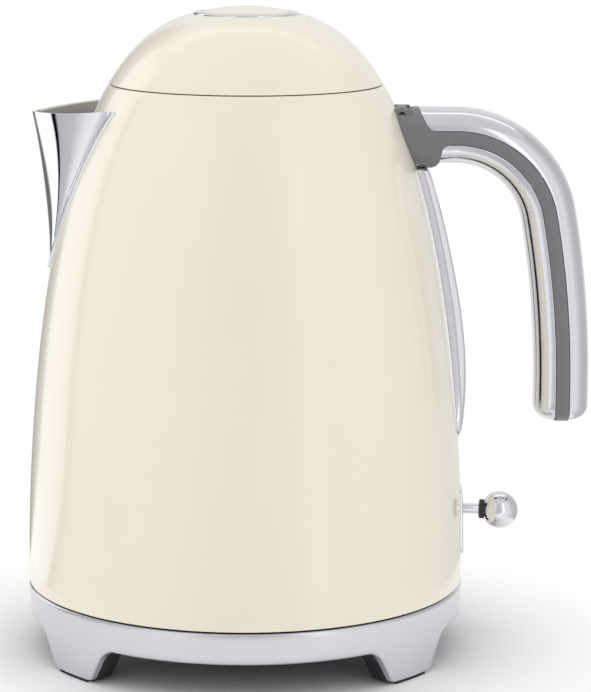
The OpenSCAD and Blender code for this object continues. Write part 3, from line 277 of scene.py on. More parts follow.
def finish(
    name,
    colour,
    rough,
    metal=0.0,
    grain=400,
    relief=0.02,
    depth=0.0001,
    tone=0.04,
    vary=0.04,
    stretch=(1, 1, 1),
    coat=0.0,
    see_through=0.0,
    shine=0.5,
):
    """A finish whose tone, gloss and fine relief vary over the piece"""
    mat = bpy.data.materials.new(name)
    mat.use_nodes = True
    tree = mat.node_tree
    tree.nodes.clear()

    def add(kind, **values):
        node = tree.nodes.new(kind)
        for key, value in values.items():
            node.inputs[key].default_value = value
        return node

    out = add("ShaderNodeOutputMaterial")
    shader = add("ShaderNodeBsdfPrincipled", Metallic=metal, IOR=1.5)
    shader.inputs["Specular IOR Level"].default_value = shine
    shader.inputs["Coat Weight"].default_value = coat
    shader.inputs["Coat Roughness"].default_value = 0.04
    shader.inputs["Transmission Weight"].default_value = see_through
    where = add("ShaderNodeTexCoord")
    mapping = add("ShaderNodeMapping", Scale=stretch)
    fine = add("ShaderNodeTexNoise", Scale=grain, Detail=4.0, Roughness=0.6)
    broad = add("ShaderNodeTexNoise", Scale=18.0, Detail=3.0, Roughness=0.5)
    shades = tree.nodes.new("ShaderNodeValToRGB")
    shades.color_ramp.elements[0].position = 0.3
    shades.color_ramp.elements[1].position = 0.7
    shades.color_ramp.elements[0].color = tuple(c * (1 - tone) for c in colour[:3]) + (1,)
    shades.color_ramp.elements[1].color = tuple(min(1, c * (1 + tone)) for c in colour[:3]) + (1,)
    gloss = tree.nodes.new("ShaderNodeMapRange")
    gloss.inputs["To Min"].default_value = max(0.0, rough - vary)
    gloss.inputs["To Max"].default_value = min(1.0, rough + vary)
    bump = add("ShaderNodeBump", Strength=relief, Distance=depth)
    link = tree.links.new
    link(where.outputs["Object"], mapping.inputs["Vector"])
    link(mapping.outputs["Vector"], fine.inputs["Vector"])
    link(where.outputs["Object"], broad.inputs["Vector"])
    link(broad.outputs["Fac"], shades.inputs["Fac"])
    link(shades.outputs["Color"], shader.inputs["Base Color"])
    link(fine.outputs["Fac"], gloss.inputs["Value"])
    link(gloss.outputs["Result"], shader.inputs["Roughness"])
    link(fine.outputs["Fac"], bump.inputs["Height"])
    link(bump.outputs["Normal"], shader.inputs["Normal"])
    link(shader.outputs["BSDF"], out.inputs["Surface"])
    return mat


cream_enamel = finish(
    "cream_enamel", linear(241, 234, 216), 0.32, grain=260, relief=0.05, depth=0.00008,
    tone=0.006, vary=0.04, coat=0.8,
)
cream_plastic = finish(
    "cream_gloss_plastic", linear(241, 235, 219), 0.3, grain=300, relief=0.04, depth=0.0001,
    tone=0.008, vary=0.05, coat=0.6,
)
satin_silver = finish(
    "satin_silver", linear(217, 218, 223), 0.25, metal=1.0, grain=1100, relief=0.02, depth=0.00003,
    tone=0.012, vary=0.05,
)
polished_chrome = finish(
    "polished_chrome", linear(232, 233, 236), 0.06, metal=1.0, grain=60, relief=0.01, depth=0.0001,
    tone=0.008, vary=0.03,
)
handle_chrome = finish(
    "handle_chrome", linear(228, 229, 233), 0.09, metal=1.0, grain=50, relief=0.01, depth=0.0001,
    tone=0.008, vary=0.03,
)
grey_plastic = finish(
    "grey_moulding", linear(117, 118, 121), 0.42, grain=1400, relief=0.12, depth=0.00008,
    tone=0.02, vary=0.06,
)
black_plastic = finish(
    "black_moulding", linear(38, 38, 40), 0.5, grain=1200, relief=0.2, depth=0.0001,
    tone=0.1, vary=0.08,
)
white_plastic = finish(
    "white_moulding", linear(228, 227, 221), 0.45, grain=900, relief=0.1, depth=0.0001,
    tone=0.015, vary=0.06,
)
black_rubber = finish(
    "black_rubber", linear(34, 34, 35), 0.75, grain=1600, relief=0.4, depth=0.0001,
    tone=0.15, vary=0.1, shine=0.35,
)
grey_silicone = finish(
    "grey_silicone", linear(170, 170, 166), 0.6, grain=700, relief=0.15, depth=0.0001,
    tone=0.04, vary=0.08, shine=0.4,
)
vessel_steel = finish(
    "vessel_steel", linear(205, 204, 202), 0.27, metal=1.0, grain=700, relief=0.12, depth=0.00006,
    tone=0.03, vary=0.08, stretch=(0.15, 0.15, 6),
)
zinc_steel = finish(
    "zinc_steel", linear(190, 191, 194), 0.35, metal=1.0, grain=1200, relief=0.1, depth=0.00005,
    tone=0.05, vary=0.08,
)
# Darker satin for the sheet inside the spout: part satin steel, part painted shade of the inner wall
spout_satin_and_shade = finish(
    "spout_satin_and_shade", linear(172, 173, 178), 0.38, metal=1.0, grain=900, relief=0.05, depth=0.00004,
    tone=0.03, vary=0.06, stretch=(0.3, 0.3, 3),
)
cast_aluminium = finish(
    "cast_aluminium", linear(200, 201, 204), 0.5, metal=1.0, grain=500, relief=0.3, depth=0.0002,
    tone=0.05, vary=0.1,
)
contact_brass = finish(
    "contact_brass", linear(214, 180, 112), 0.28, metal=1.0, grain=900, relief=0.08, depth=0.00005,
    tone=0.05, vary=0.08,
)
clear_window = finish(
    "clear_window", linear(238, 243, 244), 0.05, grain=200, relief=0.02, depth=0.0001,
    tone=0.01, vary=0.03, see_through=0.92,
)
mark_ink = finish(
    "mark_ink", linear(70, 72, 76), 0.5, grain=900, relief=0.1, depth=0.00003,
    tone=0.08, vary=0.05,
)

# ---- Jug and lid ----


SHELL_TURNS = 192
SPOUT_LOW = 150
SPOUT_H = 63.6
SPOUT_HALF = 27.8
SPOUT_FLARE = 0.49
SPOUT_OVERLAP = 2.6
GAUGE_SLOT = (10, 91.1, 188.1)
LEVER_SLOT = (-2.7, 2.7, 38.8, 61.4)
TO_SPOUT = (-90, -40)
TO_HANDLE = (40, 90)


def shell_outline(low, high, rows):
    """The painted wall between two heights, out and back"""
    outer = [(body_r(z), z) for z in span(low, high, rows)]
    inner = [(under_skin(z, SHELL_T)[0], z) for z in span(high, low, rows)]
    return outer + inner


def stadium(w, low, high, count=12):
    """An upright slot with round ends"""
    r = w / 2
    return arc(0, high - r, r, 0, 180, count) + arc(0, low + r, r, 180, 360, count)


def spout_share(z):
    """How far up the spout a height is, from 0 at its point to 1 at its rim"""
    return max(0.0, (z - SPOUT_LOW) / SPOUT_H)


def spout_half(z):
    return SPOUT_HALF * spout_share(z) ** SPOUT_FLARE


def rectangle(a0, a1, b0, b1):
    return [(a0, b0), (a1, b0), (a1, b1), (a0, b1)]


shell = lathe(shell_outline(SHELL_LOW, SEAM_Z, 90), SHELL_TURNS)
soften(shell, SHELL_EDGE, 3, 50)
hole = [(spout_half(z) - SPOUT_OVERLAP, z) for z in span(162, 205, 12)]
hole += [(-y, z) for y, z in reversed(hole)]
for outline, (near, far) in (
    (hole, TO_SPOUT),
    (stadium(*GAUGE_SLOT), TO_HANDLE),
    (rectangle(*LEVER_SLOT), TO_HANDLE),
    (rectangle(-POCKET_HALF, POCKET_HALF, POCKET_Z, SEAM_Z + 2), (25, 90)),
):
    combine(shell, plate(outline, near, far, "x"), "DIFFERENCE")
piece("jug_shell_enamel", shell, cream_enamel, "jug", ["body_shell"])

LID_HOLE_R = 20.35
LID_NOTCH = (-6.35, 6.35, 220, 228.05)
lid_top_z = height_at(LID_HOLE_R)
lid_outer = [(body_r(z), z) for z in span(LID_Z, 236, 20) + span(236, lid_top_z, 50)[1:]]
lid_inner = [(under_skin(z, SHELL_T)[0], z) for z in span(lid_top_z - 1.6, LID_Z, 50)]
dome = lathe(lid_outer + [(LID_HOLE_R, lid_top_z - SHELL_T)] + lid_inner, SHELL_TURNS)
soften(dome, SHELL_EDGE, 3, 50)
combine(dome, plate(rectangle(*LID_NOTCH), 42.5, 62.5, "x"), "DIFFERENCE")
piece("lid_dome_enamel", dome, cream_enamel, "lid", ["lid_shell"])

RING_R = 20.2
RING_HOLE_R = 16.9
RING_EDGE = 0.7
RING_DEPTH = 7
RING_TOP = height_at(RING_R) + RING_EDGE
ring = lathe(
    [(RING_R, RING_TOP - RING_DEPTH)]
    + arc(RING_R - RING_EDGE, RING_TOP - RING_EDGE, RING_EDGE, 0, 90, 8)
    + arc(RING_HOLE_R + RING_EDGE, RING_TOP - RING_EDGE, RING_EDGE, 90, 180, 8)
    + [(RING_HOLE_R, RING_TOP - RING_DEPTH)],
    128,
)
piece("lid_ring_chrome", ring, polished_chrome, "lid", ["lid_ring"])

BUTTON_TOP = RING_TOP + 2.1
CROWN_R = 14.7
CROWN_FALL = 1.5
BUTTON_R = 16.6
BUTTON_T = 1.6
BUTTON_EDGE = 0.665
PEG_R = 2.8
housing_z = RING_TOP - 14
button_bottom = housing_z + 6.3
side_top = BUTTON_TOP - CROWN_FALL
cap_inside = side_top - BUTTON_T
button = [(CROWN_R * t, BUTTON_TOP - CROWN_FALL * t * t) for t in span(0, 0.98, 14)]
for t in span(90, 0, 14):
    reach = (BUTTON_R - CROWN_R) * math.cos(math.radians(t))
    fall = BUTTON_EDGE * (1 - math.sin(math.radians(t)))
    button.append((CROWN_R + reach, side_top - fall))
button += [(BUTTON_R, button_bottom), (BUTTON_R - BUTTON_T, button_bottom)]
button += [(BUTTON_R - BUTTON_T, cap_inside), (PEG_R, cap_inside)]
button += [(PEG_R, housing_z - 3), (0, housing_z - 3)]
button = lathe(button, 128)
piece("lid_button_cap", button, cream_plastic, "button", ["lid_button"])

ARM_HALF = 6.3
ARM_T = 2.6
ARM_LOW = 209.3
ARM_HIGH = 228
TONGUE_X = 31.6
TONGUE_Z = (223.7, 225.9)
arm_levels = span(ARM_LOW, ARM_HIGH, 20)
arm_back = [under_skin(z, ARM_T) for z in reversed(arm_levels)]
arm = lathe([(body_r(z), z) for z in arm_levels] + arm_back, 2 * SHELL_TURNS)
combine(arm, plate(rectangle(-ARM_HALF, ARM_HALF, 200, 240), 40, 70, "x"), "INTERSECT")
arm_foot = plate(
    [
        (TONGUE_X, TONGUE_Z[0]),
        (under_skin(225.2, ARM_T)[0] + 0.3, TONGUE_Z[0]),
        under_skin(227.4, 2.1),
        (41.2, TONGUE_Z[1]),
        (TONGUE_X, TONGUE_Z[1]),
    ],
    -ARM_HALF,
    ARM_HALF,
    "y",
)
piece("lid_hinge_arm_enamel", joined(arm, arm_foot), cream_enamel, "lid", ["hinge_arm"])
knuckle = rod(2.8, -ARM_HALF, ARM_HALF, "y", HINGE, 0.3)
piece("lid_hinge_knuckle", knuckle, grey_plastic, "lid", ["hinge_arm"])

# ---- Spout ----

SPOUT_ROWS = 56
SPOUT_COLUMNS = 40
SPOUT_T = 1.3
SPOUT_BOW = 0.76
SPOUT_DIP = 2.7
RIDGE_R = 76.4
RIDGE_REACH = 5.7
# The flange: (past the skin's edge, off the jug), and the same on its hidden side
FLANGE = [(0.5, 1.25), (3.1, 1.25), (3.55, 0.8), (3.6, 0.05)]
FLANGE_BACK = (-0.65, 0.0, 0.4, 0.8)
LINING_LOW = 186
LINING_H = 27.0
LINING_ROWS = 24


def on_body(y, z, off):
    """Where a point off the jug's wall lies, on the spout's side"""
    return -math.sqrt(max(0.0, (body_r(z) + off) ** 2 - y * y))


def ridge_at(z):
    """How far the spout's front edge lies from the axis"""
    return RIDGE_R + RIDGE_REACH * max(0.0, (z - 158) / 52.9) ** 1.6


def spout_skin(z, s, wall):
    """Forward place, half width and fall of the skin, from the ridge, 0, to the jug, 1"""
    half = max(0.5, spout_half(z) - wall)
    front = -(ridge_at(z) - wall * 1.2)
    back = on_body(half, z, 0.55)
    y = half * math.sin(math.radians(90 * s**SPOUT_BOW))
    x = min(front + (back - front) * s, on_body(y, z, CLEAR if wall else 1.1))
    return x, y, z - SPOUT_DIP * (1 - s) * spout_share(z) ** 3


def spout_level(k):
    """Height of a row, closer together near the point"""
    return 150.6 + 63.0 * (k / SPOUT_ROWS) ** 1.3


def spout_outside(i, k):
    """A point of the chrome that is seen: the skin, and past it the flange"""
    z = spout_level(k)
    step = abs(i - SPOUT_COLUMNS - len(FLANGE))
    side = 1 if i > SPOUT_COLUMNS + len(FLANGE) else -1
    if step <= SPOUT_COLUMNS:
        x, y, z = spout_skin(z, step / SPOUT_COLUMNS, 0)
    else:
        past, off = FLANGE[step - SPOUT_COLUMNS - 1]
        y = spout_half(z) + past * min(1.0, 0.4 + 1.5 * spout_share(z))
        x = on_body(y, z, off)
    return x, side * y, z


def spout_inside(i, k):
    """The point behind it, on the side of the water or of the jug"""
    z = spout_level(k)
    step = abs(i - SPOUT_COLUMNS - len(FLANGE))
    side = 1 if i > SPOUT_COLUMNS + len(FLANGE) else -1
    if step <= SPOUT_COLUMNS:
        x, y, z = spout_skin(z, step / SPOUT_COLUMNS, SPOUT_T)
    else:
        y = spout_half(z) + FLANGE_BACK[step - SPOUT_COLUMNS - 1]
        x = on_body(y, z, CLEAR)
    return x, side * y, z


across = 2 * (SPOUT_COLUMNS + len(FLANGE))
spout = joined(
    drawn_sheet(across, SPOUT_ROWS, spout_outside),
    drawn_sheet(across, SPOUT_ROWS, spout_inside),
)
bmesh.ops.bridge_loops(spout, edges=[e for e in spout.edges if e.is_boundary])
closed(spout)
piece("spout_chrome", spout, polished_chrome, "jug", ["spout"], 40)


def spout_lining_and_shade(wall):
    """The inside of the upper spout, at a depth under its skin: a darker satin sheet, part satin steel
    and part painted shade of the spout's inner wall
    """

    def place(i, k):
        z = LINING_LOW + LINING_H * k / LINING_ROWS
        step = abs(i - SPOUT_COLUMNS)
        x, y, z = spout_skin(z, 0.96 * step / SPOUT_COLUMNS, wall)
        return x, y if i > SPOUT_COLUMNS else -y, z

    return drawn_sheet(2 * SPOUT_COLUMNS, LINING_ROWS, place)


# A darker sheet over the spout's inner chrome: part satin finish, part painted shade
lining = joined(spout_lining_and_shade(SPOUT_T + 0.1), spout_lining_and_shade(SPOUT_T + 0.3))
bmesh.ops.bridge_loops(lining, edges=[e for e in lining.edges if e.is_boundary])
piece("spout_inside_satin_and_shade", closed(lining), spout_satin_and_shade, "jug", (), 40)

# ---- Water gauge ----

GAUGE_LOW = 83.6
GAUGE_HIGH = 190.6
GAUGE_HALF = 9
GAUGE_DEPTH = 4.7
PANE_BACK = 3.2
FLOOR_Z = 70.0


def gauge_front(z):
    """How far the gauge's front lies from the axis"""
    u = max(0.0, min(1.0, (z - GAUGE_LOW) / (GAUGE_HIGH - GAUGE_LOW)))
    rise = GAUGE_DEPTH * (1 - (1 - min(1.0, u / 0.45)) ** 2.2) * (1 - 0.48 * max(0.0, u - 0.5))
    return body_r(z) + 0.6 + rise


def frame_outline(half, low, high, r_low, r_high, count=10, along=40):
    """Points round an upright frame, equally many for every size"""
    points = arc(-half + r_low, low + r_low, r_low, 270, 180, count)
    points += [(-half, z) for z in span(low + r_low, high - r_high, along)[1:]]
    points += arc(-half + r_high, high - r_high, r_high, 180, 90, count)[1:]
    points += arc(half - r_high, high - r_high, r_high, 90, 0, count)
    points += [(half, z) for z in span(high - r_high, low + r_low, along)[1:]]
    points += arc(half - r_low, low + r_low, r_low, 0, -90, count)[1:]
    return points


def banded(loops):
    """Joins closed rows of points, one after the next"""
    bm = bmesh.new()
    rows = []
    for loop in loops:
        verts = [bm.verts.new(p) for p in loop]
        rows.append([bm.edges.new(pair) for pair in zip(verts, verts[1:] + verts[:1])])
    for a, b in zip(rows, rows[1:]):
        bmesh.ops.bridge_loops(bm, edges=a + b)
    return bm


def on_gauge(points, depth):
    """Points behind the gauge's front"""
    return [(gauge_front(z) - depth, y, z) for y, z in points]


def on_jug(points, off):
    """Points off the jug's wall, on the handle's side"""
    return [(math.sqrt((body_r(z) + off) ** 2 - y * y), y, z) for y, z in points]


def around(inset):
    """The gauge's frame from outside"""
    return frame_outline(GAUGE_HALF - inset, GAUGE_LOW + inset, GAUGE_HIGH - inset, 8.9 - inset, 1.6)


def opening(grow):
    """The frame's opening"""
    return frame_outline(4.55 + grow, 91.6 - grow, 187.6 + grow, 4.5 + grow, 4.5 + grow)


def between(points, share, inset):
    """Points of the frame's side, at a share of its depth from the jug to the front"""
    back = on_jug(points, CLEAR)
    front = on_gauge(points, 0.0)
    return [
        (p[0] + max(0.1, share * (q[0] - p[0])), p[1] * (1 - inset / GAUGE_HALF), p[2])
        for p, q in zip(back, front)
    ]


trim = banded(
    [
        on_jug(around(0), CLEAR),
        between(around(0), 0.04, 0),
        between(around(0.1), 0.42, 0.12),
        between(around(0.1), 0.46, 0.5),
        between(around(0.1), 0.5, 0.5),
        between(around(0.1), 0.54, 0.2),
        between(around(0.1), 0.8, 0.75),
        on_gauge(around(1.3), 0.3),
        on_gauge(around(1.8), 0.0),
        on_gauge(opening(0.9), 0.0),
        on_gauge(opening(0.35), 0.15),
        on_gauge(opening(0.05), 0.5),
        on_gauge(opening(0), 1.1),
        on_jug(opening(0), CLEAR),
    ]
)
closed(trim)
piece("gauge_frame_chrome", trim, polished_chrome, "jug", ["gauge_frame"], 40)


def pane_outline(inset):
    """The window, which fills the opening"""
    return frame_outline(4.5 - inset, 91.7 + inset, 187.5 - inset, 4.45 - inset, 4.45 - inset)


pane = banded(
    [
        [(body_r(z) - PANE_BACK, y, z) for y, z in pane_outline(0)],
        on_gauge(pane_outline(0), 1.2),
        on_gauge(pane_outline(0.25), 0.9),
        on_gauge(pane_outline(0.7), 0.8),
    ]
)
bmesh.ops.triangle_fill(pane, edges=[e for e in pane.edges if e.is_boundary], use_beauty=True)
closed(pane)
piece("gauge_window_clear", pane, clear_window, "jug", ["gauge_window"], 40)


def level_for(litres):
    """Height at which the water stands for a volume"""
    z, volume, step = FLOOR_Z, 0.0, 0.1
    while volume < litres * 1e6:
        volume += math.pi * (body_r(z) - SHELL_T) ** 2 * step
        z += step
    return z


def letters(text, y, z, size):
    """Numerals as flat faces, upright on the gauge"""
    curve = bpy.data.curves.new("numerals", "FONT")
    curve.body = text
    curve.size = size
    curve.align_x = "LEFT"
    curve.align_y = "CENTER"
    curve.resolution_u = 4
    carrier = bpy.data.objects.new("numerals", curve)
    bpy.context.scene.collection.objects.link(carrier)
    view = bpy.context.evaluated_depsgraph_get()
    mesh = bpy.data.meshes.new_from_object(carrier.evaluated_get(view))
    bm = bmesh.new()
    bm.from_mesh(mesh)
    bpy.data.objects.remove(carrier)
    bpy.data.curves.remove(curve)
    bpy.data.meshes.remove(mesh)
    for v in bm.verts:
        v.co = (0, y + v.co.x, z + v.co.y)
    return bm


LEVELS = ((0.5, "0.5"), (0.75, ""), (1.0, "1.0"), (1.25, ""), (1.5, "1.5"), (1.7, "1.7"))
MARK_START = -3.6
MARK_W = 0.5
marks = []
for litres, words in LEVELS:
    z = level_for(litres)
    length = 2.6 if words else 1.6
    line = bmesh.new()
    bmesh.ops.create_grid(line, x_segments=6, y_segments=1, size=0.5)
    for v in line.verts:
        v.co = (0, MARK_START + (v.co.x + 0.5) * length, z + v.co.y * MARK_W)
    marks.append(line)
    if words:
        marks.append(letters(words, -0.6, z, 3.0))
marks = joined(*marks)
for v in marks.verts:
    v.co.x = gauge_front(v.co.z) - 0.76
piece("gauge_level_marks", marks, mark_ink, "jug")

# ---- Handle ----

GRIP_Z = 202.6
BEND_X = 81
BEND_R = 36.9
BEND_TURN = 79.5
LOWER_R = 368
LOWER_TURN = 10.5
HALF_N = 10.7
HALF_W = 13.5
SQUARE = 2.5
STRIP_HALF = 2.6
STRIP_GAP = 0.12
GRIP_WALL = 1.8
END_LEN = 6.0
ROOT_END = 79.2
bend_len = BEND_R * math.radians(BEND_TURN)
lower_len = LOWER_R * math.radians(LOWER_TURN)
grip_total = bend_len + lower_len + 9 + END_LEN


def grip_point(s, y, n):
    """A point of the handle: s along it from the bend's start, y across, n outwards"""
    turn = math.radians(BEND_TURN)
    if s <= 0:
        x, z, a = BEND_X + s, GRIP_Z, 0.0
    elif s <= bend_len:
        a = s / BEND_R
        x, z = BEND_X + BEND_R * math.sin(a), GRIP_Z - BEND_R * (1 - math.cos(a))
    else:
        a = turn + min(math.radians(LOWER_TURN), (s - bend_len) / LOWER_R)
        past = max(0.0, s - bend_len - lower_len)
        x = BEND_X + BEND_R * math.sin(turn)
        x += LOWER_R * (math.sin(a) - math.sin(turn)) + past * math.cos(a)
        z = GRIP_Z - BEND_R * (1 - math.cos(turn))
        z -= LOWER_R * (math.cos(turn) - math.cos(a)) + past * math.sin(a)
    return Vector((x + n * math.sin(a), y, z + n * math.cos(a)))


def grip_stops(start, end, end_len=END_LEN):
    """Places along the handle, closer together where it bends and at its rounded end"""
    stops = span(start, 0, 10)
    stops += span(0, bend_len, 44)[1:]
    stops += span(bend_len, end - end_len, 26)[1:]
    stops += [end - end_len + end_len * math.sin(math.radians(a)) for a in span(0, 88, 14)[1:]]
    return stops


def end_scale(s, end, end_len=END_LEN):
    """How much of its size the section keeps near the rounded end"""
    return math.sqrt(max(0.0025, 1 - max(0.0, (s - (end - end_len)) / end_len) ** 2))


def grip_shell(up, start_x):
    """One chrome shell: up is 1 for the outer and -1 for the inner one"""
    end = grip_total - 0.6
    stops = grip_stops(start_x - BEND_X, end)
    low = STRIP_HALF + STRIP_GAP

    def section(drop, count):
        """The arc of the section, with its two lower edges rounded"""
        half_w, half_n = HALF_W - drop, HALF_N - drop
        a0 = math.degrees(math.asin(((low + 0.3) / half_n) ** (SQUARE / 2)))
        points = [
            (half_w * power(math.cos(a), 2 / SQUARE), half_n * math.sin(a) ** (2 / SQUARE))
            for a in (math.radians(t) for t in span(a0, 180 - a0, count))
        ]
        foot = points[0][0]
        edge = [(foot - 0.3, low), (foot - 0.08, low + 0.09)]
        return edge + points + [(-y, n) for y, n in reversed(edge)]

    outside = section(0.0, 56)
    inside = section(GRIP_WALL, 56)
    loops = []
    for s in stops:
        scale = end_scale(s, end)
        inner_s = min(s, end - GRIP_WALL)
        inner_scale = min(scale, end_scale(inner_s, end - GRIP_WALL))
        loops.append(
            [grip_point(s, y * scale, up * (low + (n - low) * scale)) for y, n in outside]
            + [
                grip_point(inner_s, y * inner_scale, up * (low + (n - low) * inner_scale))
                for y, n in reversed(inside)
            ]
        )
    bm = banded(loops)
    bmesh.ops.holes_fill(bm, edges=[e for e in bm.edges if e.is_boundary], sides=0)
    return closed(bm)


def root_outline(grow):
    """Side view of the block at the handle's root, with the fillets into the strip"""
    g = grow
    upper = [(50, 216), (65.14 + g, 216), (69.0 + g, 208.35)]
    upper += [(69.9 + g, 206.9), (71.0 + g, 205.9), (72.4 + g, 205.35), (74.2, 205.2 + g)]
    lower = [(ROOT_END, 200 - g), (77.4 + g, 199.75 - g), (76.2 + g, 199.1)]
    lower += [(75.4 + g, 198.0), (75.1 + g, 196.6), (74.9 + g, 194.6), (74.4 + g, 192.9 - g)]
    lower += [(73.4 + g, 191.4 - g), (71.9, 190.4 - g), (70.1, 190 - g)]
    lower += [(68.2, 190.5 - g), (65.7, 192.3 - g), (50, 196)]
    return upper + [(ROOT_END, 205.2 + g)] + lower


def grip_section(lower_half):
    """The handle's section across, in y and z, with its lower half as deep as asked"""
    points = []
    for t in span(0, 360, 96)[:-1]:
        a = math.radians(t + 1)
        y = HALF_W * power(math.cos(a), 2 / SQUARE)
        n = power(math.sin(a), 2 / SQUARE)
        points.append((y, GRIP_Z + n * (HALF_N if n > 0 else lower_half)))
    return points


def inside_jug():
    """The jug's own space, which what sits against it is cut with"""
    wall = [(body_r(z) + CLEAR, z) for z in span(180, 225, 40)]
    return lathe([(0, 180)] + wall + [(0, 225)], SHELL_TURNS)


outer_shell = grip_shell(1, 62)
combine(outer_shell, plate(root_outline(STRIP_GAP), -20, 20, "y"), "DIFFERENCE")
piece("handle_outer_chrome", outer_shell, handle_chrome, "jug", ["handle_outer_shell"])
inner_shell = grip_shell(-1, 70)
combine(inner_shell, plate(root_outline(STRIP_GAP), -20, 20, "y"), "DIFFERENCE")
piece("handle_inner_chrome", inner_shell, handle_chrome, "jug", ["handle_inner_shell"])

root = plate(grip_section(12.7), 48, ROOT_END, "x")
combine(root, plate(root_outline(0), -20, 20, "y"), "INTERSECT")
combine(root, inside_jug(), "DIFFERENCE")
combine(root, plate(rectangle(-9.6, 9.6, POCKET_Z, 230), 40, 63.73, "x"), "DIFFERENCE")

EAR_OUT = 9.5
EAR_TOP = 213.3
ears = []
for side in (-1, 1):
    near, far = sorted((POCKET_HALF * side, EAR_OUT * side))
    ear = plate(rectangle(near, far, POCKET_Z + CLEAR, EAR_TOP), 49.5, 63.6, "x")
    soften(ear, 0.6, 3, 60)
    ears.append(combine(ear, inside_jug(), "DIFFERENCE"))
piece("hinge_ears_grey", joined(*ears), grey_plastic, "jug", ["hinge_bracket"])

strip_w = HALF_W * (1 - (STRIP_HALF / HALF_N) ** SQUARE) ** (1 / SQUARE) - 0.1
strip_end = grip_total - 0.1
strip_edge = [
    (strip_w, STRIP_HALF - 0.3),
    (strip_w - 0.09, STRIP_HALF - 0.09),
    (strip_w - 0.3, STRIP_HALF),
    (0, STRIP_HALF),
]
strip_edge += [(-y, n) for y, n in reversed(strip_edge[:-1])]
strip_edge += [(y, -n) for y, n in reversed(strip_edge)]
strip_loops = []
for s in grip_stops(79 - BEND_X, strip_end):
    narrow = end_scale(s, strip_end)
    thin = 0.8 + 0.2 * end_scale(s, strip_end, 1.0)
    strip_loops.append([grip_point(s, y * narrow, n * thin) for y, n in strip_edge])
strip = banded(strip_loops)
bmesh.ops.holes_fill(strip, edges=[e for e in strip.edges if e.is_boundary], sides=0)
closed(strip)
piece("handle_core_grey", joined(root, strip), grey_plastic, "jug", ["handle_core"])

# ---- Switch lever ----

LEVER_AT = (51, 0, 55.9)
LEVER_FALL = Matrix.Rotation(math.radians(2.4), 3, "Y")
REACH = 49.5
BALL_R = 7.25
COLLAR_X = 41.4
STEM_END = 42.6


def on_lever(bm):
    """Brings a shape drawn along the lever to its place on the jug"""
    bmesh.ops.rotate(bm, cent=(0, 0, 0), matrix=LEVER_FALL, verts=bm.verts)
    bmesh.ops.translate(bm, vec=LEVER_AT, verts=bm.verts)
    return bm


ball = bmesh.new()
bmesh.ops.create_uvsphere(
    ball, u_segments=72, v_segments=36, radius=BALL_R, matrix=Matrix.Translation((REACH, 0, 0))
)
piece("lever_ball_chrome", on_lever(ball), polished_chrome, "lever", ["lever_knob"])
collar = lathe([(2.02, 0), (3.3, 0), (3.7, 0.15), (3.8, 0.5), (3.8, 1.88), (3.2, 1.5), (2.02, 1.1)], 64)
upright_to_x = Matrix.Rotation(math.pi / 2, 3, "Y")
bmesh.ops.rotate(collar, cent=(0, 0, 0), matrix=upright_to_x, verts=collar.verts)
bmesh.ops.translate(collar, vec=(COLLAR_X, 0, 0), verts=collar.verts)
piece("lever_collar_black", on_lever(collar), black_plastic, "lever", ["lever_collar"])
stem = joined(rod(2.0, 26.05, STEM_END, "x", round_edge=0.2), rod(1.5, 19, 26.5, "x"))
piece("lever_stem_chrome", on_lever(stem), polished_chrome, "lever", ["lever_stem"])

# The slot's plate, from its foot over its front and back in: half width, low, high, off the jug
trim_rows = []
for half, low, high, off in (
    (6.0, 37.2, 63.0, CLEAR),
    (6.0, 37.2, 63.0, 0.45),
    (5.85, 37.35, 62.85, 0.75),
    (5.5, 37.7, 62.5, 0.9),
    (2.95, 38.6, 61.6, 0.9),
    (2.7, 38.85, 61.35, 0.7),
    (2.65, 38.85, 61.35, CLEAR),
):
    trim_rows.append(on_jug(frame_outline(half, low, high, 0.5, 0.5, 5, 12), off))
slot_trim = closed(banded(trim_rows))
piece("lever_slot_trim", slot_trim, polished_chrome, "jug", ["slot_plate"], 40)

# ---- Power base ----

SKIRT_Z = 14.4
PAD_H = 0.9
BASE_TOP = 26.7
RING_IN = 82.36
FOOT_IN = 74.7
FOOT_HALF = 12.0
SOLE_ROUND = 3.5
ARCH_ROUND = 10.0
NOTCH_Z = 12.35
NOTCH_R = 4.5
SKIN_T = 2.3
LIP_R = 1.1
FEET = (39, 141, 219, 321)
FOOT_MID_R = 84.6
SIDE_SLOPE = 32
FRONT_SLOPE = 30
TAPER = 1.4


def base_r(z):
    """Radius of the ring's outside, a little less towards the table"""
    return BELLY_R - TAPER * max(0.0, BASE_TOP - 2 - z) / BASE_TOP


def flank(slope):
    """Places across a foot's flank, with its height at each, from the sole to the skirt"""
    tan = math.tan(math.radians(slope))
    half_turn = math.tan(math.radians(90 - slope) / 2)
    top = SKIRT_Z + 0.3
    corner = FOOT_HALF + (top - PAD_H) * tan
    arch_y = corner + ARCH_ROUND * half_turn
    arch = arc(arch_y, top - ARCH_ROUND, ARCH_ROUND, 90, 180 - slope, 14)
    sole_y = FOOT_HALF - SOLE_ROUND * half_turn
    sole = arc(sole_y, PAD_H + SOLE_ROUND, SOLE_ROUND, -90, -slope, 8)
    return sole + [(y, min(z, SKIRT_Z)) for y, z in reversed(arch)]


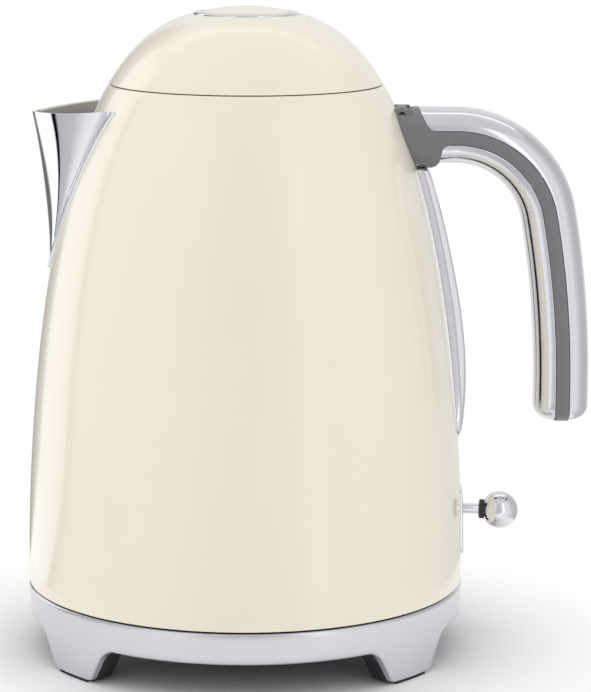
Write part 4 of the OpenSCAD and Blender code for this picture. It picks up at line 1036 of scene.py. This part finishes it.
def base_columns():
    """Round the base: (angle outside, angle inside, height of the lower edge, inner radius)"""
    columns = []
    for index, place in enumerate(FEET):
        side_first = index % 2 == 0
        low = flank(SIDE_SLOPE if side_first else FRONT_SLOPE)
        high = flank(FRONT_SLOPE if side_first else SIDE_SLOPE)
        foot = [(-y, z) for y, z in reversed(low)]
        foot += [(y, PAD_H) for y in span(-FOOT_HALF + 2.6, FOOT_HALF - 2.6, 6)]
        foot += high
        for y, z in foot:
            inner = FOOT_IN if z < SKIRT_Z - 0.02 else RING_IN
            outside = place + math.degrees(math.asin(y / FOOT_MID_R))
            columns.append((outside, place + math.degrees(math.asin(y / inner)), z, inner))
        following = FEET[(index + 1) % 4] + (360 if index == 3 else 0)
        reach = flank(FRONT_SLOPE if side_first else SIDE_SLOPE)[-1][0]
        start = columns[-1][0]
        end = following - math.degrees(math.asin(reach / FOOT_MID_R))
        count = max(4, round((end - start) / 2.5))
        columns += [(t, t, SKIRT_Z, RING_IN) for t in span(start, end, count)[1:-1]]
    return columns


def at_skin(column):
    """Radius and angle where a foot's silver skin ends on its sole and its flanks"""
    outside, inside, low, inner = column
    share = SKIN_T / (FOOT_MID_R - FOOT_IN)
    turned = outside + (inside - outside) * share if inner < RING_IN else outside
    return base_r(low) - SKIN_T, turned


def base_section(column):
    """The ring cut at a column: (radius, height, angle) round it, from the lip out and down"""
    outside, low = column[0], column[2]
    skin_r, turned = at_skin(column)
    rows = [(r, z, outside) for r, z in arc(BELLY_R - LIP_R, BASE_TOP - LIP_R, LIP_R, 90, 0, 8)]
    rows += [(base_r(z), z, outside) for z in span(24.2, low + 1.3, 6)]
    rows += [
        (base_r(low) - 0.12, low + 0.75, outside),
        (base_r(low) - 0.42, low + 0.32, outside),
        (base_r(low) - 0.85, low + 0.08, outside),
        (base_r(low) - 1.4, low, outside),
        (skin_r, low, turned),
    ]
    rows += [(RING_IN, max(low + 0.35, SKIRT_Z), outside), (RING_IN, BASE_TOP, outside)]
    return rows


columns = base_columns()
sections = [base_section(c) for c in columns]


def round_axis(r, z, angle):
    """A radius, height and angle in degrees as a point"""
    a = math.radians(angle)
    return r * math.cos(a), r * math.sin(a), z


def base_place(i, k):
    return round_axis(*sections[i % len(columns)][k % len(sections[0])])


def foot_core_and_shade(group):
    """The black core of a foot, behind its silver skin: black moulding, and its dark flanks are also
    painted shade standing in for the dark underside that they reflect
    """
    loops = []
    for column in group:
        inside, low, inner = column[1:]
        skin_r, turned = at_skin(column)
        low = min(low, SKIRT_Z - 0.08)
        edge = min(0.6, (SKIRT_Z - low) / 2)
        rows = [(skin_r - 0.02, low, turned), (inner + edge, low, inside), (inner, low + edge, inside)]
        rows += [(inner, SKIRT_Z - 0.02, inside), (skin_r - 0.02, SKIRT_Z - 0.02, turned)]
        loops.append([round_axis(*row) for row in rows])
    bm = banded(loops)
    bmesh.ops.holes_fill(bm, edges=[e for e in bm.edges if e.is_boundary], sides=0)
    return closed(bm)


silver_ring = closed(drawn_sheet(len(columns), len(sections[0]), base_place))
combine(silver_ring, rod(NOTCH_R, 78, 92, "y", (0, 0, NOTCH_Z)), "DIFFERENCE")
piece("base_ring_satin", silver_ring, satin_silver, "power_base", ["base_ring"], 40)
groups = [[]]
for column in columns:
    if column[3] < RING_IN:
        groups[-1].append(column)
    elif groups[-1]:
        groups.append([])
# Black cores of the feet: black moulding, and partly painted shade in place of the dark reflection on
# the feet's flanks
cores = joined(*(foot_core_and_shade(group) for group in groups if group))
piece("base_feet_inside_and_shade", cores, black_plastic, "power_base", (), 40)

# ---- Finishes of the nodes that keep their shape ----

for finish_used, names in (
    (black_rubber, ("foot_pads", "cable_gland")),
    (grey_plastic, ("mouth_collar", "filter_frame")),
    (grey_silicone, ("floor_seal", "gauge_seal", "lid_seal")),
    (
        black_plastic,
        ("base_deck", "base_cover", "base_socket", "bottom_cover", "jug_connector", "lever_rocker"),
    ),
    (
        white_plastic,
        ("glide_ring", "control_block", "steam_tube", "switch_bracket", "cord_clamp", "button_housing"),
    ),
    (white_plastic, ("lid_liner", "latch_bolt")),
    (
        vessel_steel,
        ("vessel_floor", "filter_guides", "filter_mesh", "handle_bracket", "heating_element"),
    ),
    (
        zinc_steel,
        (
            "base_screws",
            "clamp_screws",
            "cover_screws",
            "handle_screws",
            "hinge_screws",
            "hinge_pin",
            "lever_pin",
            "button_spring",
            "latch_spring",
        ),
    ),
    (cast_aluminium, ("heat_spreader",)),
    (contact_brass, ("socket_contacts", "jug_contacts", "bimetal_disc")),
):
    for name in names:
        mesh = nodes[name].data
        if mesh.materials:
            mesh.materials[0] = finish_used
        else:
            mesh.materials.append(finish_used)

# ---- Floor, light and camera ----


def stage_finish(name, colour):
    """The floor's matt white near the object, which runs out into the plain white of the backdrop"""
    mat = bpy.data.materials.new(name)
    mat.use_nodes = True
    tree = mat.node_tree
    shader = tree.nodes["Principled BSDF"]
    shader.inputs["Base Color"].default_value = colour
    shader.inputs["Roughness"].default_value = 0.9
    shader.inputs["Specular IOR Level"].default_value = 0.1
    out = tree.nodes["Material Output"]
    white = tree.nodes.new("ShaderNodeEmission")
    path = tree.nodes.new("ShaderNodeLightPath")
    seen = tree.nodes.new("ShaderNodeMath")
    seen.operation = "MAXIMUM"
    where = tree.nodes.new("ShaderNodeTexCoord")
    reach = tree.nodes.new("ShaderNodeVectorMath")
    reach.operation = "LENGTH"
    far = tree.nodes.new("ShaderNodeMapRange")
    far.interpolation_type = "SMOOTHSTEP"
    far.inputs["From Min"].default_value = 0.08
    far.inputs["From Max"].default_value = 0.18
    share = tree.nodes.new("ShaderNodeMath")
    share.operation = "MULTIPLY"
    mix = tree.nodes.new("ShaderNodeMixShader")
    link = tree.links.new
    link(path.outputs["Is Camera Ray"], seen.inputs[0])
    link(path.outputs["Is Glossy Ray"], seen.inputs[1])
    link(where.outputs["Object"], reach.inputs[0])
    link(reach.outputs["Value"], far.inputs["Value"])
    link(far.outputs["Result"], share.inputs[0])
    link(seen.outputs[0], share.inputs[1])
    link(share.outputs[0], mix.inputs["Fac"])
    link(shader.outputs[0], mix.inputs[1])
    link(white.outputs[0], mix.inputs[2])
    link(mix.outputs[0], out.inputs["Surface"])
    return mat


def set_piece(name, bm, mat):
    """A part of the set, in metres, which isn't one of the object"""
    mesh = bpy.data.meshes.new(name)
    bm.to_mesh(mesh)
    bm.free()
    mesh.materials.append(mat)
    obj = bpy.data.objects.new(name, mesh)
    bpy.context.scene.collection.objects.link(obj)
    return obj


def glowing(name):
    """A material that gives light alone, with the light's node"""
    mat = bpy.data.materials.new(name)
    mat.use_nodes = True
    tree = mat.node_tree
    tree.nodes.clear()
    light = tree.nodes.new("ShaderNodeEmission")
    out = tree.nodes.new("ShaderNodeOutputMaterial")
    tree.links.new(light.outputs[0], out.inputs["Surface"])
    return mat, light


def reflections_only(obj):
    """Hides a part of the set from all but reflections"""
    for kind in ("visible_camera", "visible_diffuse", "visible_shadow", "visible_transmission"):
        setattr(obj, kind, False)
    obj.visible_volume_scatter = False


FLOOR_REACH = 20
floor_shape = bmesh.new()
bmesh.ops.create_grid(floor_shape, x_segments=4, y_segments=4, size=FLOOR_REACH)
set_piece("studio_floor", floor_shape, stage_finish("floor_white", (0.93, 0.93, 0.93, 1)))


def top_strip():
    """A long white board high behind the set, which only reflections see"""
    centre, aim = Vector((0, 0.8, 1.7)), Vector((0, 0, 0.2))
    bm = bmesh.new()
    bmesh.ops.create_grid(bm, x_segments=1, y_segments=1, size=0.5)
    bmesh.ops.scale(bm, vec=(2.4, 0.34, 1), verts=bm.verts)
    turn = (aim - centre).to_track_quat("Z", "Y").to_matrix()
    bmesh.ops.rotate(bm, cent=(0, 0, 0), matrix=turn, verts=bm.verts)
    bmesh.ops.translate(bm, vec=centre, verts=bm.verts)
    mat, light = glowing("top_strip")
    light.inputs["Color"].default_value = (1.3, 1.3, 1.3, 1)
    reflections_only(set_piece("top_strip", bm, mat))


# Panels of the tent: direction in degrees, 0 at the back and below 0 on the spout's side, and
# how bright it is there
PANELS = [
    (-180, 0.58),
    (180, 0.58),
    (-166, 0.66),
    (-154, 1.0),
    (-136, 0.92),
    (-112, 0.62),
    (-85, 0.56),
    (-83.5, 0.0),
    (-78.5, 0.0),
    (-77, 1.2),
    (-49, 1.2),
    (-43, 0.16),
    (-26, 0.2),
    (-18, 0.75),
    (0, 0.8),
    (24, 0.82),
    (42, 0.72),
    (60, 0.58),
    (80, 0.58),
    (98, 0.68),
    (118, 0.9),
    (138, 0.86),
    (140, 1.25),
    (151, 1.25),
    (153, 0.78),
    (166, 0.64),
]
TENT = [(0.17, 0.002), (0.47, 0.002), (0.5, 0.03), (0.5, 0.62)]


def light_tent():
    """Panels round the set, white, grey and black, which only reflections see"""
    bm = bmesh.new()
    verts = [bm.verts.new((r, 0, z)) for r, z in TENT]
    edges = [bm.edges.new(pair) for pair in zip(verts, verts[1:])]
    bmesh.ops.spin(
        bm,
        geom=verts + edges,
        cent=(0, 0, 0),
        axis=(0, 0, 1),
        angle=math.tau,
        steps=96,
        use_merge=True,
    )
    mat, light = glowing("light_tent")
    tree = mat.node_tree
    link = tree.links.new
    where = tree.nodes.new("ShaderNodeTexCoord")
    parts = tree.nodes.new("ShaderNodeSeparateXYZ")
    turn = tree.nodes.new("ShaderNodeMath")
    turn.operation = "ARCTAN2"
    share = tree.nodes.new("ShaderNodeMapRange")
    share.inputs["From Min"].default_value = -math.pi
    share.inputs["From Max"].default_value = math.pi
    panels = tree.nodes.new("ShaderNodeValToRGB")
    link(where.outputs["Object"], parts.inputs["Vector"])
    link(parts.outputs["X"], turn.inputs[0])
    link(parts.outputs["Y"], turn.inputs[1])
    link(turn.outputs[0], share.inputs["Value"])
    link(share.outputs["Result"], panels.inputs["Fac"])
    link(panels.outputs["Color"], light.inputs["Color"])
    stops = panels.color_ramp.elements
    for index, (degrees, glow) in enumerate(PANELS):
        place = (degrees + 180) / 360
        stop = stops[index] if index < 2 else stops.new(place)
        stop.position = place
        stop.color = (glow, glow, glow * 1.01, 1)
    reflections_only(set_piece("light_tent", bm, mat))


top_strip()
light_tent()


def softbox(name, centre, aim, size, level):
    """A soft lamp whose face is as bright as level, where 1 is white"""
    lamp = bpy.data.lights.new(name, "AREA")
    lamp.shape = "RECTANGLE"
    lamp.size, lamp.size_y = size
    lamp.energy = level * math.pi * size[0] * size[1]
    obj = bpy.data.objects.new(name, lamp)
    bpy.context.scene.collection.objects.link(obj)
    obj.location = centre
    obj.rotation_euler = (Vector(centre) - Vector(aim)).to_track_quat("Z", "Y").to_euler()
    obj.visible_camera = False
    obj.visible_glossy = False
    return obj


softbox("left_softbox", (-1.6, 0.0, 0.7), (0, 0, 0.13), (1.2, 1.5), 1.0)
softbox("right_softbox", (1.6, -0.5, 0.7), (0, 0, 0.13), (1.2, 1.5), 0.6)
softbox("top_softbox", (0, -0.1, 1.6), (0, 0, 0.1), (1.2, 0.9), 0.6)

world = bpy.data.worlds.new("studio")
bpy.context.scene.world = world
world.use_nodes = True
tree = world.node_tree
tree.nodes.clear()
link = tree.links.new
sky_out = tree.nodes.new("ShaderNodeOutputWorld")
soft = tree.nodes.new("ShaderNodeBackground")
soft.inputs["Color"].default_value = (1, 1, 1, 1)
soft.inputs["Strength"].default_value = 0.84
seen = tree.nodes.new("ShaderNodeBackground")
seen.inputs["Color"].default_value = (1, 1, 1, 1)
seen.inputs["Strength"].default_value = 1.0
room = tree.nodes.new("ShaderNodeBackground")
room.inputs["Strength"].default_value = 1.0
way = tree.nodes.new("ShaderNodeTexCoord")
parts = tree.nodes.new("ShaderNodeSeparateXYZ")
walls = tree.nodes.new("ShaderNodeValToRGB")
walls.color_ramp.elements[0].position = 0.42
walls.color_ramp.elements[0].color = (0.72, 0.725, 0.735, 1)
walls.color_ramp.elements[1].position = 0.56
walls.color_ramp.elements[1].color = (0.76, 0.765, 0.775, 1)
spread = tree.nodes.new("ShaderNodeMapRange")
spread.inputs["From Min"].default_value = -1
spread.inputs["From Max"].default_value = 1
path = tree.nodes.new("ShaderNodeLightPath")
shiny = tree.nodes.new("ShaderNodeMixShader")
direct = tree.nodes.new("ShaderNodeMixShader")
link(way.outputs["Generated"], parts.inputs["Vector"])
link(parts.outputs["Y"], spread.inputs["Value"])
link(spread.outputs["Result"], walls.inputs["Fac"])
link(walls.outputs["Color"], room.inputs["Color"])
link(path.outputs["Is Glossy Ray"], shiny.inputs["Fac"])
link(soft.outputs[0], shiny.inputs[1])
link(room.outputs[0], shiny.inputs[2])
link(path.outputs["Is Camera Ray"], direct.inputs["Fac"])
link(shiny.outputs[0], direct.inputs[1])
link(seen.outputs[0], direct.inputs[2])
link(direct.outputs[0], sky_out.inputs["Surface"])

# The camera looks slightly down and is a trace off square and level
down = math.radians(10.497)
side = math.radians(-0.411)
roll = math.radians(0.241)
ahead = Vector((math.sin(side) * math.cos(down), math.cos(side) * math.cos(down), -math.sin(down)))
right = ahead.cross(Vector((0, 0, 1))).normalized()
up = right.cross(ahead)
right_rolled = right * math.cos(roll) + up * math.sin(roll)
up_rolled = up * math.cos(roll) - right * math.sin(roll)
eye = Vector((27.5, -1115.7, 325.9)) * MM
camera_data = bpy.data.cameras.new("camera")
camera_data.sensor_width = 36
camera_data.lens = 150.66
camera = bpy.data.objects.new("camera", camera_data)
bpy.context.scene.collection.objects.link(camera)
turned = Matrix((right_rolled, up_rolled, -ahead)).transposed()
camera.matrix_world = Matrix.Translation(eye) @ turned.to_4x4()
bpy.context.scene.camera = camera
bpy.context.scene.view_settings.view_transform = "Standard"
